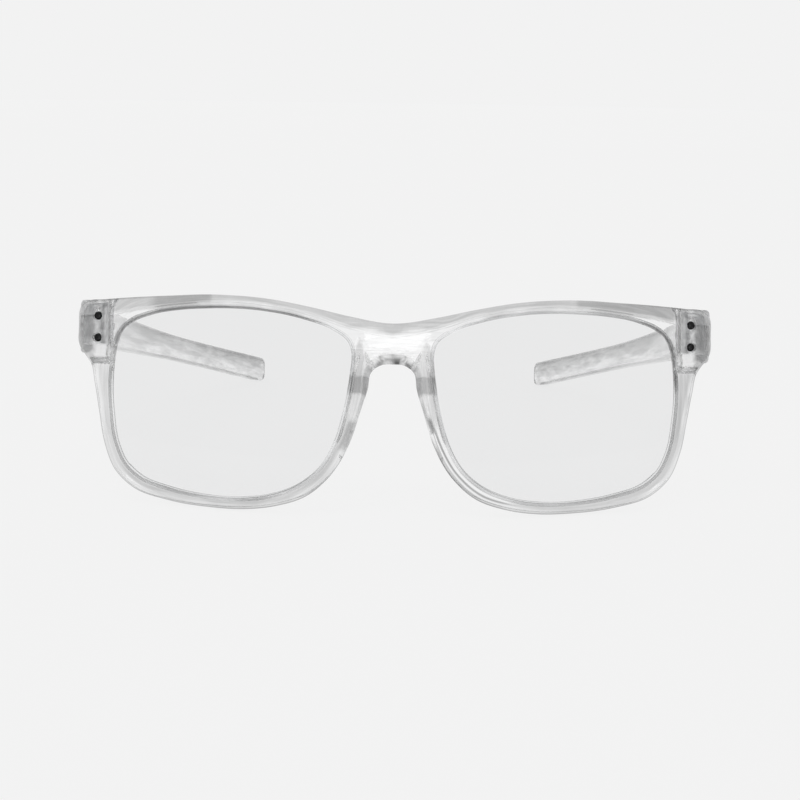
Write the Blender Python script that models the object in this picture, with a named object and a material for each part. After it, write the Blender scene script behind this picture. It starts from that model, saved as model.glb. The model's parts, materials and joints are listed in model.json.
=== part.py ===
"""Clear moulded glasses with plano lenses, open and resting on a flat surface.

The front is drawn in its own frame, in millimetres: X to the wearer's left, Y from the face of
the front towards the ears, Z up. Everything hangs from one empty, which tips that frame back so
that the rims and the temple tips stand on Z = 0.
"""
import math

import bmesh
import bpy
import numpy as np

MM = 0.001

# How the glasses stand
REST_PITCH = math.radians(9.55)     # the front leans back by this much
GROUND_DROP = 27.42                 # from the front's frame origin down to the surface

# The front: its curved face, as a depth Y behind the middle of the bridge
WRAP_RADIUS = 157.0                 # seen from above
CROWN_RADIUS = 260.0                # seen from the side
CROWN_HEIGHT = -3.0
CORNER_START, CORNER_RADIUS = 68.5, 4.0

# One row for each section of a rim, clockwise from the top of the bridge: opening x, z and
# outline x, z. The brow, the bridge and the arch also give the crease of their facet; elsewhere
# the crease runs RIM_BEVEL inside the outline.
RIM_BEVEL = 0.9
RIM_SECTIONS = (
    ((9.9, 11.3), (0.0, 15.6), (0.0, 12.8)),
    ((13.0, 13.7), (9.5, 17.0), (9.7, 14.5)),
    ((20.0, 16.2), (18.5, 19.0), (18.9, 17.4)),
    ((29.0, 17.9), (28.0, 20.7), (28.3, 19.25)),
    ((37.0, 18.4), (36.5, 21.4), (36.8, 19.8)),
    ((42.5, 18.3), (43.0, 21.5), (42.9, 19.6)),
    ((48.5, 17.9), (50.0, 21.2), (49.6, 18.9)),
    ((55.3, 16.7), (58.5, 20.8), (58.2, 17.9)),
    ((59.6, 15.0), (66.8, 20.2), (66.4, 16.4)),
    ((61.2, 13.7), (71.4, 19.7), (70.6, 16.4)),
    ((62.3, 12.1), (73.0, 18.5), (72.2, 16.2)),
    ((63.1, 9.9), (73.3, 14.0), None),
    ((63.5, 7.8), (73.0, 9.7), None),
    ((63.7, 6.0), (71.5, 7.9), None),
    ((63.9, 3.6), (69.6, 5.6), None),
    ((64.0, 0.3), (68.5, 1.0), None),
    ((63.6, -5.4), (67.3, -5.6), None),
    ((62.4, -12.4), (65.9, -12.8), None),
    ((60.3, -16.8), (63.3, -18.8), None),
    ((57.0, -19.7), (58.8, -22.7), None),
    ((50.0, -22.1), (50.8, -25.1), None),
    ((41.0, -23.6), (40.6, -26.35), None),
    ((33.5, -23.8), (33.0, -26.5), None),
    ((27.0, -22.9), (25.9, -25.6), None),
    ((21.0, -20.6), (18.9, -23.2), None),
    ((16.0, -16.5), (13.2, -18.1), None),
    ((12.8, -10.8), (9.4, -11.5), None),
    ((11.1, -5.0), (7.2, -5.0), None),
    ((9.9, 1.0), (5.4, 1.0), (6.4, 1.1)),
    ((9.4, 4.6), (4.6, 4.8), (5.9, 5.8)),
    ((9.15, 6.8), (2.6, 6.25), (2.9, 8.6)),
    ((9.1, 8.6), (0.0, 6.5), (0.0, 9.0)),
)
STATIONS_PER_SPAN = 2               # how finely each span between two rows is divided
BRIDGE_STATIONS = 3                 # sections that end on the plane of symmetry

RIM_DEPTH = 4.1
BROW_EXTRA_DEPTH = 0.5
FACET_SLOPE = 0.7
EDGE_ROUND = 0.5
CREASE_ROUND = 0.25
PAD_HEIGHT = 2.4                    # how far the moulded nose pads stand out at the back

GROOVE_FRONT, GROOVE_BACK, GROOVE_DEPTH = 0.9, 3.0, 0.9
GROOVE_TAPER = 0.15                 # how much each side of the groove closes in towards its floor
LENS_FRONT, LENS_BACK, LENS_REACH = 1.2, 2.7, 0.6
LENS_CENTRE = (36.5, -2.6)

# End pieces and hinges, for the wearer's left side
BUTT_Y = 23.5                       # flat back of the end piece
HINGE_X, HINGE_Y, HINGE_Z = 66.3, 25.0, 13.9
KNUCKLES = 5
KNUCKLE_RADIUS, KNUCKLE_HEIGHT, KNUCKLE_GAP = 1.3, 1.5, 0.15
SCREW_RADIUS, SCREW_CLEARANCE = 0.6, 0.1
SCREW_POINT = 0.15                  # how much the screw narrows at its lower end
SCREW_STICKS_OUT = 0.1              # past the knuckles, at the lower end and under the head
SCREW_HEAD_RADIUS, SCREW_HEAD_HEIGHT = 1.15, 0.7
SLOT_WIDTH, SLOT_DEPTH = 0.3, 0.3
LEAF_THICKNESS, LEAF_GAP = 0.85, 0.25
FRONT_LEAF_INSET, TEMPLE_LEAF_INSET = 0.15, 0.1
WEB_OVERLAP = 0.45                  # how far a knuckle's web runs into its plate
TEMPLE_WEB_STRETCH = 1.25           # the temple's plate lies farther from the axis
FRONT_LEAF_X = (65.1, 70.3)
TEMPLE_LEAF_Y = (24.4, 33.4)
RIVET_HEAD_RADIUS, RIVET_SHANK_RADIUS, RIVET_HEAD_HEIGHT = 0.95, 0.5, 0.9
RIVET_GAP = 0.15
FRONT_RIVET_X, FRONT_RIVET_SPACING = 67.9, 5.0
FRONT_RIVET_FACE_Y = 16.5
TEMPLE_RIVET_Y = (27.4, 31.6)

# Temples: distance along, half height and half thickness at a few places, joined smoothly
TEMPLE_START_Y = 23.9
TEMPLE_LENGTH = 136.0
TEMPLE_ROOT_X, TEMPLE_TIP_X = 70.8, 42.7
TEMPLE_ROOT_SPLAY = 0.05            # inward run for each millimetre back, near the hinge
TEMPLE_STRAIGHT = 30.0              # straight for this long, then curved inward
TEMPLE_DROP, TEMPLE_SAG = 0.04, 0.00036  # downward run for each millimetre back, and its growth
TEMPLE_SHAPE = (
    (0.0, 6.2, 2.5),
    (8.0, 5.75, 2.25),
    (26.0, 4.5, 2.0),
    (50.0, 3.95, 1.8),
    (78.0, 3.45, 1.65),
    (105.0, 3.45, 1.65),
    (136.0, 3.6, 1.7),
)
TEMPLE_CORNER = 1.2
TIP_ROUND = 2.4

ROUND_SIDES = 16                    # facets of a rivet, screw or knuckle
CUT_PAST = 3.0                      # how far a cutter runs past the surface it cuts

CLEAR_PLASTIC = ((0.90, 0.91, 0.92, 1.0), 0.08, 0.0, 1.0)
TEMPLE_PLASTIC = ((0.85, 0.86, 0.87, 1.0), 0.15, 0.0, 1.0)
HINGE_PLASTIC = ((0.88, 0.89, 0.90, 1.0), 0.12, 0.0, 1.0)
LENS_PLASTIC = ((0.95, 0.96, 0.97, 1.0), 0.02, 0.0, 1.0)
BLACK_METAL = ((0.02, 0.02, 0.02, 1.0), 0.35, 1.0, 0.0)
STEEL = ((0.62, 0.62, 0.62, 1.0), 0.3, 1.0, 0.0)


# ---------------------------------------------------------------- shapes in plain numbers

def ramp(low, high, value):
    """0 below low, 1 above high, smooth between."""
    t = np.clip((np.asarray(value, float) - low) / (high - low), 0.0, 1.0)
    return t * t * (3.0 - 2.0 * t)


def smooth_curve(knots, per_span):
    """Points on a smooth curve through the inner knots; the two end knots only steer it."""
    knots = np.asarray(knots, float)
    chord = np.linalg.norm(np.diff(knots, axis=0), axis=1)[:, None]
    slope = np.diff(knots, axis=0) / chord
    tangent = (slope[:-1] * chord[1:] + slope[1:] * chord[:-1]) / (chord[1:] + chord[:-1])
    points = []
    for i in range(1, len(knots) - 2):
        for step in range(per_span):
            t = step / per_span
            start, end = tangent[i - 1] * chord[i], tangent[i] * chord[i]
            points.append((2 * t**3 - 3 * t**2 + 1) * knots[i] + (t**3 - 2 * t**2 + t) * start
                          + (3 * t**2 - 2 * t**3) * knots[i + 1] + (t**3 - t**2) * end)
    points.append(knots[-2])
    return np.array(points)


def outward(points):
    """Unit normals of a clockwise curve, whose end points are given with their neighbours."""
    tangent = points[2:] - points[:-2]
    tangent /= np.linalg.norm(tangent, axis=1)[:, None]
    return np.column_stack((-tangent[:, 1], tangent[:, 0]))


def rounded_corner(before, corner, after, steps):
    """Points of a smooth bend from before to after that would meet in corner."""
    t = np.linspace(0.0, 1.0, steps + 1)[:, None]
    before, corner, after = (np.asarray(p, float) for p in (before, corner, after))
    return (1 - t)**2 * before + 2 * t * (1 - t) * corner + t**2 * after


def face_y(x, z):
    """Depth of the front's face behind the middle of the bridge."""
    x = np.abs(x)
    turned = np.maximum(0.0, x - CORNER_START)
    crown = (z - CROWN_HEIGHT)**2 / (2 * CROWN_RADIUS)
    return x**2 / (2 * WRAP_RADIUS) + turned**2 / (2 * CORNER_RADIUS) + crown


def back_depth(x, z):
    """Depth of the front's back surface behind its face, without the nose pads."""
    depth = RIM_DEPTH + BROW_EXTRA_DEPTH * ramp(-6.0, 12.0, z)
    end_piece = ramp(64.3, 65.3, x) * ramp(5.4, 6.8, z)
    return depth + end_piece * (BUTT_Y - face_y(x, z) - depth)


def pad_depth(edge_distance, x, z):
    """Extra depth of the moulded nose pad, at a distance from the edge of the opening."""
    half_width = 1.95 * (1 - ramp(3.0, 12.5, z))**0.7
    across = 1 - ramp(half_width - 0.9, half_width + 0.6, np.abs(edge_distance - 2.5))
    along = ramp(-14.0, -8.0, z) * (1 - ramp(4.0, 12.5, z))
    return PAD_HEIGHT * across * along * (1 - ramp(13.0, 16.0, x))


def on_ground(points):
    """Presses whatever would go through the resting surface flat onto it."""
    points = np.array(points, float)
    height = points[:, 2] * math.cos(REST_PITCH) - points[:, 1] * math.sin(REST_PITCH) + GROUND_DROP
    low = np.minimum(height, 0.0)
    points[:, 2] -= low * math.cos(REST_PITCH)
    points[:, 1] += low * math.sin(REST_PITCH)
    return points


# ---------------------------------------------------------------- building pieces

def clear_scene():
    for obj in list(bpy.data.objects):
        bpy.data.objects.remove(obj, do_unlink=True)


def finish_material(name, finish):
    colour, roughness, metallic, transmission = finish
    material = bpy.data.materials.new(name)
    material.use_nodes = True
    shader = material.node_tree.nodes["Principled BSDF"]
    shader.inputs["Base Color"].default_value = colour
    shader.inputs["Roughness"].default_value = roughness
    shader.inputs["Metallic"].default_value = metallic
    shader.inputs["Transmission Weight"].default_value = transmission
    material.diffuse_color = colour
    return material


def add_empty(name, parent, location=(0, 0, 0)):
    empty = bpy.data.objects.new(name, None)
    empty.empty_display_size = 5 * MM
    empty.location = [c * MM for c in location]
    empty.parent = parent
    bpy.context.scene.collection.objects.link(empty)
    return empty


def add_mesh(name, points, faces, parent, origin=(0, 0, 0)):
    """A closed body from points in millimetres in the front's frame, turned the right way out."""
    shell = bmesh.new()
    vertices = [shell.verts.new([(c - o) * MM for c, o in zip(p, origin)]) for p in points]
    for face in faces:
        shell.faces.new([vertices[i] for i in face])
    bmesh.ops.remove_doubles(shell, verts=shell.verts, dist=0.000001)
    loose = [v for v in shell.verts if not v.link_faces]
    bmesh.ops.delete(shell, geom=loose, context="VERTS")
    bmesh.ops.recalc_face_normals(shell, faces=shell.faces)
    mesh = bpy.data.meshes.new(name)
    shell.to_mesh(mesh)
    shell.free()
    obj = bpy.data.objects.new(name, mesh)
    obj.parent = parent
    bpy.context.scene.collection.objects.link(obj)
    return obj


def as_part(obj, finish, sharp=35):
    obj.data.materials.append(finish_material(obj.name + "_finish", finish))
    obj.data.shade_smooth()
    obj.data.set_sharp_from_angle(angle=math.radians(sharp))
    return obj


def join_or_cut(obj, tool, operation):
    """Applies one Boolean with a helper body, which is left out of the model."""
    tool.hide_render = True
    tool.display_type = "WIRE"
    modifier = obj.modifiers.new(tool.name, "BOOLEAN")
    modifier.operation = operation
    modifier.object = tool


def ring_faces(sections, ring, closed=False):
    """Quads between neighbouring sections of ring points each."""
    faces = []
    for i in range(sections if closed else sections - 1):
        here, there = i * ring, (i + 1) % sections * ring
        for j in range(ring):
            k = (j + 1) % ring
            faces.append((here + j, here + k, there + k, there + j))
    return faces


def capped_faces(sections, ring):
    last = (sections - 1) * ring
    return ring_faces(sections, ring) + [tuple(range(ring))] + [tuple(range(last, last + ring))]


def prism(outline, low, high, place):
    """Points of an outline at two levels; place turns (a, b, level) into a point."""
    return [place(a, b, level) for level in (low, high) for a, b in outline]


def add_prism(name, outline, low, high, place, parent, origin=(0, 0, 0)):
    points = prism(outline, low, high, place)
    return add_mesh(name, points, capped_faces(2, len(outline)), parent, origin)


def add_turned(name, profile, place, parent, origin=(0, 0, 0), sides=ROUND_SIDES):
    """A turned body: profile is a list of (radius, level) from one end to the other."""
    points = [place(radius * math.cos(turn), radius * math.sin(turn), level)
              for radius, level in profile
              for turn in (2 * math.pi * k / sides for k in range(sides))]
    return add_mesh(name, points, capped_faces(len(profile), sides), parent, origin)


def box_outline(a_low, a_high, b_low, b_high):
    return [(a_low, b_low), (a_high, b_low), (a_high, b_high), (a_low, b_high)]


# ---------------------------------------------------------------- front

def rim_curves(per_span, bridge_stations):
    """Opening, its normals, crease and outline, with one entry for each station."""
    opening, outline, crease = [], [], []
    for hole, edge, fold in RIM_SECTIONS:
        hole, edge = np.array(hole), np.array(edge)
        across = (hole - edge) / np.linalg.norm(hole - edge)
        opening.append(hole)
        outline.append(edge)
        crease.append(edge + across * RIM_BEVEL if fold is None else np.array(fold))
    mirror = np.array((-1.0, 1.0))
    edge = smooth_curve((outline[1] * mirror, *outline, outline[-2] * mirror), per_span)
    fold = smooth_curve((crease[1] * mirror, *crease, crease[-2] * mirror), per_span)
    hole = smooth_curve((opening[-1], *opening, opening[0]), per_span)
    bridge = smooth_curve((opening[-2], opening[-1], opening[0], opening[1]), bridge_stations + 1)
    hole = np.vstack((hole, bridge[1:-1]))
    return hole, outward(np.vstack((hole[-1], hole, hole[0]))), fold, edge


def at(place, depth):
    return np.array((place[0], depth, place[1]))


def face_points(inner, last, spans):
    """Points across the flat of the face, between its two ends."""
    return [at(inner + (last - inner) * step / spans, 0.0) for step in range(1, spans)]


def back_points(outer, inner, spans):
    """Points across the back from outer to inner, closer together over the nose pads."""
    reach = np.linalg.norm(outer - inner)
    dense = min(4.8, 0.75 * reach)
    points = []
    for step in range(2 * spans + 1, 0, -1):
        share = step / (2 * spans + 2)
        along = np.interp(share, (0.0, 0.75, 1.0), (0.0, dense, reach))
        place = inner + (outer - inner) * along / reach
        points.append(at(place, back_depth(*place) + pad_depth(along + EDGE_ROUND, *place)))
    return points


def inner_wall(hole, normal, fine):
    """The wall of the opening, from its back edge past the lens groove; and its front edge."""
    def inside(out, depth):
        return at(hole + normal * out, depth)

    r, back = EDGE_ROUND, back_depth(*hole)
    wall = list(rounded_corner(inside(r, back), inside(0, back), inside(0, back - r), fine))
    wall += [inside(0, GROOVE_BACK), inside(GROOVE_DEPTH, GROOVE_BACK - GROOVE_TAPER)]
    wall += [inside(GROOVE_DEPTH, GROOVE_FRONT + GROOVE_TAPER), inside(0, GROOVE_FRONT)]
    return wall, list(rounded_corner(inside(0, r), inside(0, 0), inside(r, 0), fine))


def rim_section(hole, normal, fold, edge, detail):
    """One closed section of a rim: points (x, depth behind the face, z)."""
    fine, spans = detail
    r, c = EDGE_ROUND, CREASE_ROUND
    inner = hole + normal * r
    width = np.linalg.norm(fold - edge)
    out = (edge - fold) / width
    inward = -out if abs(edge[0]) < 1e-6 else (inner - fold) / np.linalg.norm(inner - fold)
    drop, back = FACET_SLOPE * width, back_depth(*edge)
    wall, section = inner_wall(hole, normal, fine)
    flat_end = fold + inward * c
    section += face_points(inner, flat_end, spans)
    section += list(rounded_corner(at(flat_end, 0), at(fold, 0),
                                   at(fold + out * c, FACET_SLOPE * c), fine))
    section += list(rounded_corner(at(edge - out * r, drop - FACET_SLOPE * r), at(edge, drop),
                                   at(edge, drop + r), fine))
    outer = edge - out * r
    section += list(rounded_corner(at(edge, back - r), at(edge, back),
                                   at(outer, back_depth(*outer)), fine))
    section += back_points(outer, inner, spans)
    return section + wall


def bridge_section(hole, normal, face_end, back_end, detail):
    """A section of the bridge, which ends on the plane of symmetry."""
    fine, spans = detail
    inner = hole + normal * EDGE_ROUND
    wall, section = inner_wall(hole, normal, fine)
    section += face_points(inner, face_end, spans)
    section += [at(face_end, 0.0)] * (2 * fine + 2)
    section += [at(back_end, back_depth(*back_end))] * (fine + 1)
    section += back_points(back_end, inner, spans)
    return section + wall


def front_points(per_span, bridge_stations, detail):
    hole, normal, fold, edge = rim_curves(per_span, bridge_stations)
    sections = [rim_section(hole[i], normal[i], fold[i], edge[i], detail) for i in range(len(edge))]
    inset = np.array((0.0, CREASE_ROUND)), np.array((0.0, EDGE_ROUND))
    low_face, high_face = fold[-1] + inset[0], fold[0] - inset[0]
    low_back, high_back = edge[-1] + inset[1], edge[0] - inset[1]
    for i in range(bridge_stations):
        share, station = (i + 1) / (bridge_stations + 1), len(edge) + i
        sections.append(bridge_section(hole[station], normal[station],
                                       low_face + (high_face - low_face) * share,
                                       low_back + (high_back - low_back) * share, detail))
    points = np.array(sections, float)
    ring = points.shape[1]
    points = points.reshape(-1, 3)
    points[:, 1] += face_y(points[:, 0], points[:, 2])
    return on_ground(points), len(sections), ring


def both_halves(points, faces):
    """Adds the mirrored half and leaves out faces that lie in the plane of symmetry."""
    middle = np.abs(points[:, 0]) < 1e-6
    kept = [face for face in faces if not all(middle[i] for i in face)]
    count = len(points)
    mirrored = points * np.array((-1.0, 1.0, 1.0))
    return np.vstack((points, mirrored)), kept + [tuple(i + count for i in f) for f in kept]


def rivet_hole_profile(head_face, head_floor, end, overshoot):
    """Stepped hole: wide for the head, narrow for the shank."""
    wide, narrow = RIVET_HEAD_RADIUS + RIVET_GAP, RIVET_SHANK_RADIUS + RIVET_GAP
    return [(wide, head_face - overshoot), (wide, head_floor), (narrow, head_floor),
            (narrow, end + overshoot)]


def front_rivet_heights():
    return [HINGE_Z - FRONT_RIVET_SPACING / 2, HINGE_Z + FRONT_RIVET_SPACING / 2]


def along_y(side, x, z):
    """Places a turned body with its axis along Y."""
    return lambda a, b, level: (side * x + a, level, z + b)


def along_x(side, y, z):
    """Places a turned body with its axis along X; levels run outward from the middle."""
    return lambda a, b, level: (side * level, y + a, z + b)


def along_z(side, x, y):
    return lambda a, b, level: (side * (x + a), y + b, level)


def add_front(pose):
    detail = (2, 3)
    points, sections, ring = front_points(STATIONS_PER_SPAN, BRIDGE_STATIONS, detail)
    points, faces = both_halves(points, ring_faces(sections, ring, closed=True))
    front = add_mesh("front_frame", points, faces, pose)
    leaf_low, leaf_high = hinge_span()
    for side, hand in ((-1, "right"), (1, "left")):
        room = LEAF_GAP
        pocket = box_outline(FRONT_LEAF_X[0] - room, FRONT_LEAF_X[1] + room,
                             BUTT_Y - FRONT_LEAF_INSET - LEAF_THICKNESS - room, BUTT_Y + CUT_PAST)
        cutter = add_prism(f"front_pocket_{hand}", pocket, leaf_low - room, leaf_high + room,
                           lambda a, b, level, s=side: (s * a, b, level), pose)
        join_or_cut(front, cutter, "DIFFERENCE")
        for number, z in enumerate(front_rivet_heights(), 1):
            floor = FRONT_RIVET_FACE_Y + RIVET_HEAD_HEIGHT + RIVET_GAP
            profile = rivet_hole_profile(FRONT_RIVET_FACE_Y, floor, BUTT_Y, CUT_PAST)
            cutter = add_turned(f"front_rivet_hole_{hand}_{number}", profile,
                                along_y(side, FRONT_RIVET_X, z), pose)
            join_or_cut(front, cutter, "DIFFERENCE")
    return as_part(front, CLEAR_PLASTIC)


# ---------------------------------------------------------------- lenses

def add_lens(pose, side, hand, rings=3):
    hole, normal = rim_curves(STATIONS_PER_SPAN, BRIDGE_STATIONS)[:2]
    outline = hole + normal * LENS_REACH
    centre = np.array(LENS_CENTRE)
    bevel = 0.2
    layout = [(k / rings, 0.0, LENS_FRONT) for k in range(rings)]
    layout += [(1.0, -bevel, LENS_FRONT), (1.0, 0.0, LENS_FRONT + bevel)]
    layout += [(1.0, 0.0, LENS_BACK - bevel), (1.0, -bevel, LENS_BACK)]
    layout += [(k / rings, 0.0, LENS_BACK) for k in range(rings - 1, -1, -1)]
    points = []
    for share, inset, depth in layout:
        ring = centre + (outline + normal * inset - centre) * share
        for x, z in ring:
            points.append((side * x, face_y(x, z) + depth, z))
    count = len(outline)
    lens = add_mesh(f"lens_{hand}", points, ring_faces(len(layout), count), pose)
    return as_part(lens, LENS_PLASTIC)


# ---------------------------------------------------------------- temples

def temple_middle(s):
    """Centre of the temple's section at a distance s behind its flat front end."""
    bend = (TEMPLE_ROOT_X - TEMPLE_ROOT_SPLAY * TEMPLE_LENGTH - TEMPLE_TIP_X)
    bend /= (TEMPLE_LENGTH - TEMPLE_STRAIGHT)**2
    x = TEMPLE_ROOT_X - TEMPLE_ROOT_SPLAY * s - bend * max(0.0, s - TEMPLE_STRAIGHT)**2
    return x, TEMPLE_START_Y + s, HINGE_Z - TEMPLE_DROP * s - TEMPLE_SAG * s**2


def temple_stations():
    tip = [TEMPLE_LENGTH - TIP_ROUND * (1 - math.sin(math.radians(turn)))
           for turn in (0, 30, 55, 75, 90)]
    body = [0.0, 4.0, 8.0, 26.0, 30.0] + list(np.linspace(38.0, 126.0, 12))
    return body + tip


def temple_section(s, steps=3):
    places, heights, widths = zip(*TEMPLE_SHAPE)
    knots = np.array(TEMPLE_SHAPE)
    half_height = np.interp(s, places, heights)
    half_width = np.interp(s, places, widths)
    if s > knots[2][0]:
        guide = np.vstack((knots[1:], knots[-1] + (30.0, 0.0, 0.0)))
        curve = smooth_curve(guide, 12)
        half_height = np.interp(s, curve[:, 0], curve[:, 1])
        half_width = np.interp(s, curve[:, 0], curve[:, 2])
    into_tip = max(0.0, s - (TEMPLE_LENGTH - TIP_ROUND)) / TIP_ROUND
    inset = TIP_ROUND * (1 - math.sqrt(max(0.0, 1 - into_tip**2)))
    half_height -= inset
    half_width -= 0.4 * inset
    corner = min(TEMPLE_CORNER, 0.8 * half_width)
    x, y, z = temple_middle(s)
    section = []
    for across, up in ((1, 1), (1, -1), (-1, -1), (-1, 1)):
        first = (across * half_width, up * (half_height - corner))
        second = (across * (half_width - corner), up * half_height)
        if across * up < 0:
            first, second = second, first
        section += [tuple(p) for p in
                    rounded_corner(second, (across * half_width, up * half_height), first, steps)]
    ahead, behind = temple_middle(s + 0.5), temple_middle(s - 0.5)
    lean = ahead[0] - behind[0] if s > TEMPLE_STRAIGHT else 0.0
    return [(x + a, y - a * lean, z + b) for a, b in section]


def add_temple(pivot, side, hand):
    stations = temple_stations()
    sections = [temple_section(s) for s in stations]
    points = on_ground([p for section in sections for p in section])
    points[:, 0] *= side
    axis = hinge_axis(side)
    ring = len(sections[0])
    temple = add_mesh(f"temple_{hand}", points, capped_faces(len(sections), ring), pivot, axis)
    leaf_low, leaf_high = hinge_span()
    room = LEAF_GAP
    face = inner_face_x()
    pocket = box_outline(face - CUT_PAST, face + TEMPLE_LEAF_INSET + LEAF_THICKNESS + room,
                         TEMPLE_START_Y - CUT_PAST, TEMPLE_LEAF_Y[1] + room)
    cutter = add_prism(f"temple_pocket_{hand}", pocket, leaf_low - room, leaf_high + room,
                       lambda a, b, level: (side * a, b, level), pivot, axis)
    join_or_cut(temple, cutter, "DIFFERENCE")
    for number, y in enumerate(TEMPLE_RIVET_Y, 1):
        outer = outer_face_x(y)
        floor = outer - RIVET_HEAD_HEIGHT - RIVET_GAP
        profile = rivet_hole_profile(-outer, -floor, -face, CUT_PAST)
        cutter = add_turned(f"temple_rivet_hole_{hand}_{number}", profile,
                            along_x(-side, y, HINGE_Z), pivot, axis)
        join_or_cut(temple, cutter, "DIFFERENCE")
    return as_part(temple, TEMPLE_PLASTIC)


def inner_face_x():
    return TEMPLE_ROOT_X - TEMPLE_SHAPE[0][2]


def outer_face_x(y):
    s = y - TEMPLE_START_Y
    places, _, widths = zip(*TEMPLE_SHAPE)
    return temple_middle(s)[0] + float(np.interp(s, places, widths))


# ---------------------------------------------------------------- hinges

def hinge_axis(side):
    return (side * HINGE_X, HINGE_Y, HINGE_Z)


def hinge_span():
    half = (KNUCKLES * KNUCKLE_HEIGHT + (KNUCKLES - 1) * KNUCKLE_GAP) / 2
    return HINGE_Z - half, HINGE_Z + half


def knuckle_levels(first):
    """Bottom and top of every second knuckle, counted from first."""
    low = hinge_span()[0]
    pitch = KNUCKLE_HEIGHT + KNUCKLE_GAP
    return [(low + k * pitch, low + k * pitch + KNUCKLE_HEIGHT) for k in range(first, KNUCKLES, 2)]


def knuckle_outline(reach, steps=ROUND_SIDES // 2):
    """A round knuckle with a web of its own width that runs reach away from the axis, along -b."""
    turns = [math.pi * k / steps for k in range(steps + 1)]
    arc = [(KNUCKLE_RADIUS * math.cos(turn), KNUCKLE_RADIUS * math.sin(turn)) for turn in turns]
    return arc + [(-KNUCKLE_RADIUS, -reach), (KNUCKLE_RADIUS, -reach)]


def add_leaf(name, plate, knuckles, turn, parent, side, rivet_holes, origin):
    """A hinge plate with its knuckles joined on, and holes for the screw and the rivets."""
    low, high = hinge_span()
    place = along_z(side, 0.0, 0.0)
    leaf = add_prism(name, plate, low, high, place, parent, origin)
    reach = HINGE_Y - BUTT_Y + WEB_OVERLAP
    for number, (bottom, top) in enumerate(knuckles, 1):
        outline = [turn(a, b) for a, b in knuckle_outline(reach)]
        knuckle = add_prism(f"{name}_knuckle_{number}", outline, bottom, top, place, parent, origin)
        join_or_cut(leaf, knuckle, "UNION")
    hole = SCREW_RADIUS + SCREW_CLEARANCE
    bore = add_turned(f"{name}_bore", [(hole, low - CUT_PAST), (hole, high + CUT_PAST)],
                      along_z(side, HINGE_X, HINGE_Y), parent, origin)
    join_or_cut(leaf, bore, "DIFFERENCE")
    radius = RIVET_SHANK_RADIUS + SCREW_CLEARANCE
    for number, (ends, where) in enumerate(rivet_holes, 1):
        drill = add_turned(f"{name}_drill_{number}", [(radius, ends[0]), (radius, ends[1])],
                           where, parent, origin)
        join_or_cut(leaf, drill, "DIFFERENCE")
    return as_part(leaf, HINGE_PLASTIC)


def front_leaf_y():
    return BUTT_Y - FRONT_LEAF_INSET - LEAF_THICKNESS, BUTT_Y - FRONT_LEAF_INSET


def add_hinge(pose, pivot, side, hand):
    back_low, back_high = front_leaf_y()
    plate = box_outline(FRONT_LEAF_X[0], FRONT_LEAF_X[1], back_low, back_high)
    drills = [((back_low - 1, back_high + 1), along_y(side, FRONT_RIVET_X, z))
              for z in front_rivet_heights()]
    add_leaf(f"front_hinge_leaf_{hand}", plate, knuckle_levels(1),
             lambda a, b: (HINGE_X + a, HINGE_Y + b), pose, side, drills, (0, 0, 0))

    face = inner_face_x()
    low = face + TEMPLE_LEAF_INSET
    high = low + LEAF_THICKNESS
    plate = box_outline(low, high, *TEMPLE_LEAF_Y)
    axis = hinge_axis(side)
    drills = [((low - 1, high + 1), along_x(side, y, HINGE_Z)) for y in TEMPLE_RIVET_Y]
    add_leaf(f"temple_hinge_leaf_{hand}", plate, knuckle_levels(0),
             lambda a, b: (HINGE_X - b * TEMPLE_WEB_STRETCH, HINGE_Y + a), pivot, side, drills, axis)

    bottom, top = hinge_span()
    seat = top + SCREW_STICKS_OUT
    profile = [(SCREW_RADIUS - SCREW_POINT, bottom - SCREW_STICKS_OUT),
               (SCREW_RADIUS, bottom + SCREW_STICKS_OUT), (SCREW_RADIUS, seat),
               (SCREW_HEAD_RADIUS, seat), (SCREW_HEAD_RADIUS, seat + SCREW_HEAD_HEIGHT - 0.2),
               (SCREW_HEAD_RADIUS - 0.25, seat + SCREW_HEAD_HEIGHT)]
    screw = add_turned(f"hinge_screw_{hand}", profile, along_z(side, HINGE_X, HINGE_Y), pose)
    slot = box_outline(HINGE_X - CUT_PAST, HINGE_X + CUT_PAST,
                       HINGE_Y - SLOT_WIDTH / 2, HINGE_Y + SLOT_WIDTH / 2)
    cutter = add_prism(f"screw_slot_{hand}", slot, seat + SCREW_HEAD_HEIGHT - SLOT_DEPTH,
                       seat + CUT_PAST, along_z(side, 0, 0), pose)
    join_or_cut(screw, cutter, "DIFFERENCE")
    as_part(screw, STEEL)


def rivet_profile(head_face, end, direction):
    """A domed head, then the shank to its far end; direction is the way the shank runs."""
    head, shank = RIVET_HEAD_RADIUS, RIVET_SHANK_RADIUS
    floor = head_face + direction * RIVET_HEAD_HEIGHT
    return [(0.45 * head, head_face - direction * 0.16), (0.8 * head, head_face - direction * 0.08),
            (head, head_face + direction * 0.12), (head, floor), (shank, floor), (shank, end)]


def add_rivets(pose, pivot, side, hand):
    end = front_leaf_y()[1]
    for number, z in enumerate(front_rivet_heights(), 1):
        rivet = add_turned(f"front_rivet_{hand}_{number}", rivet_profile(FRONT_RIVET_FACE_Y, end, 1),
                           along_y(side, FRONT_RIVET_X, z), pose)
        as_part(rivet, BLACK_METAL)
    axis = hinge_axis(side)
    for number, y in enumerate(TEMPLE_RIVET_Y, 1):
        profile = rivet_profile(outer_face_x(y), inner_face_x() + TEMPLE_LEAF_INSET, -1)
        rivet = add_turned(f"temple_rivet_{hand}_{number}", profile, along_x(side, y, HINGE_Z),
                           pivot, axis)
        as_part(rivet, BLACK_METAL)


# ---------------------------------------------------------------- the whole

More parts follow.
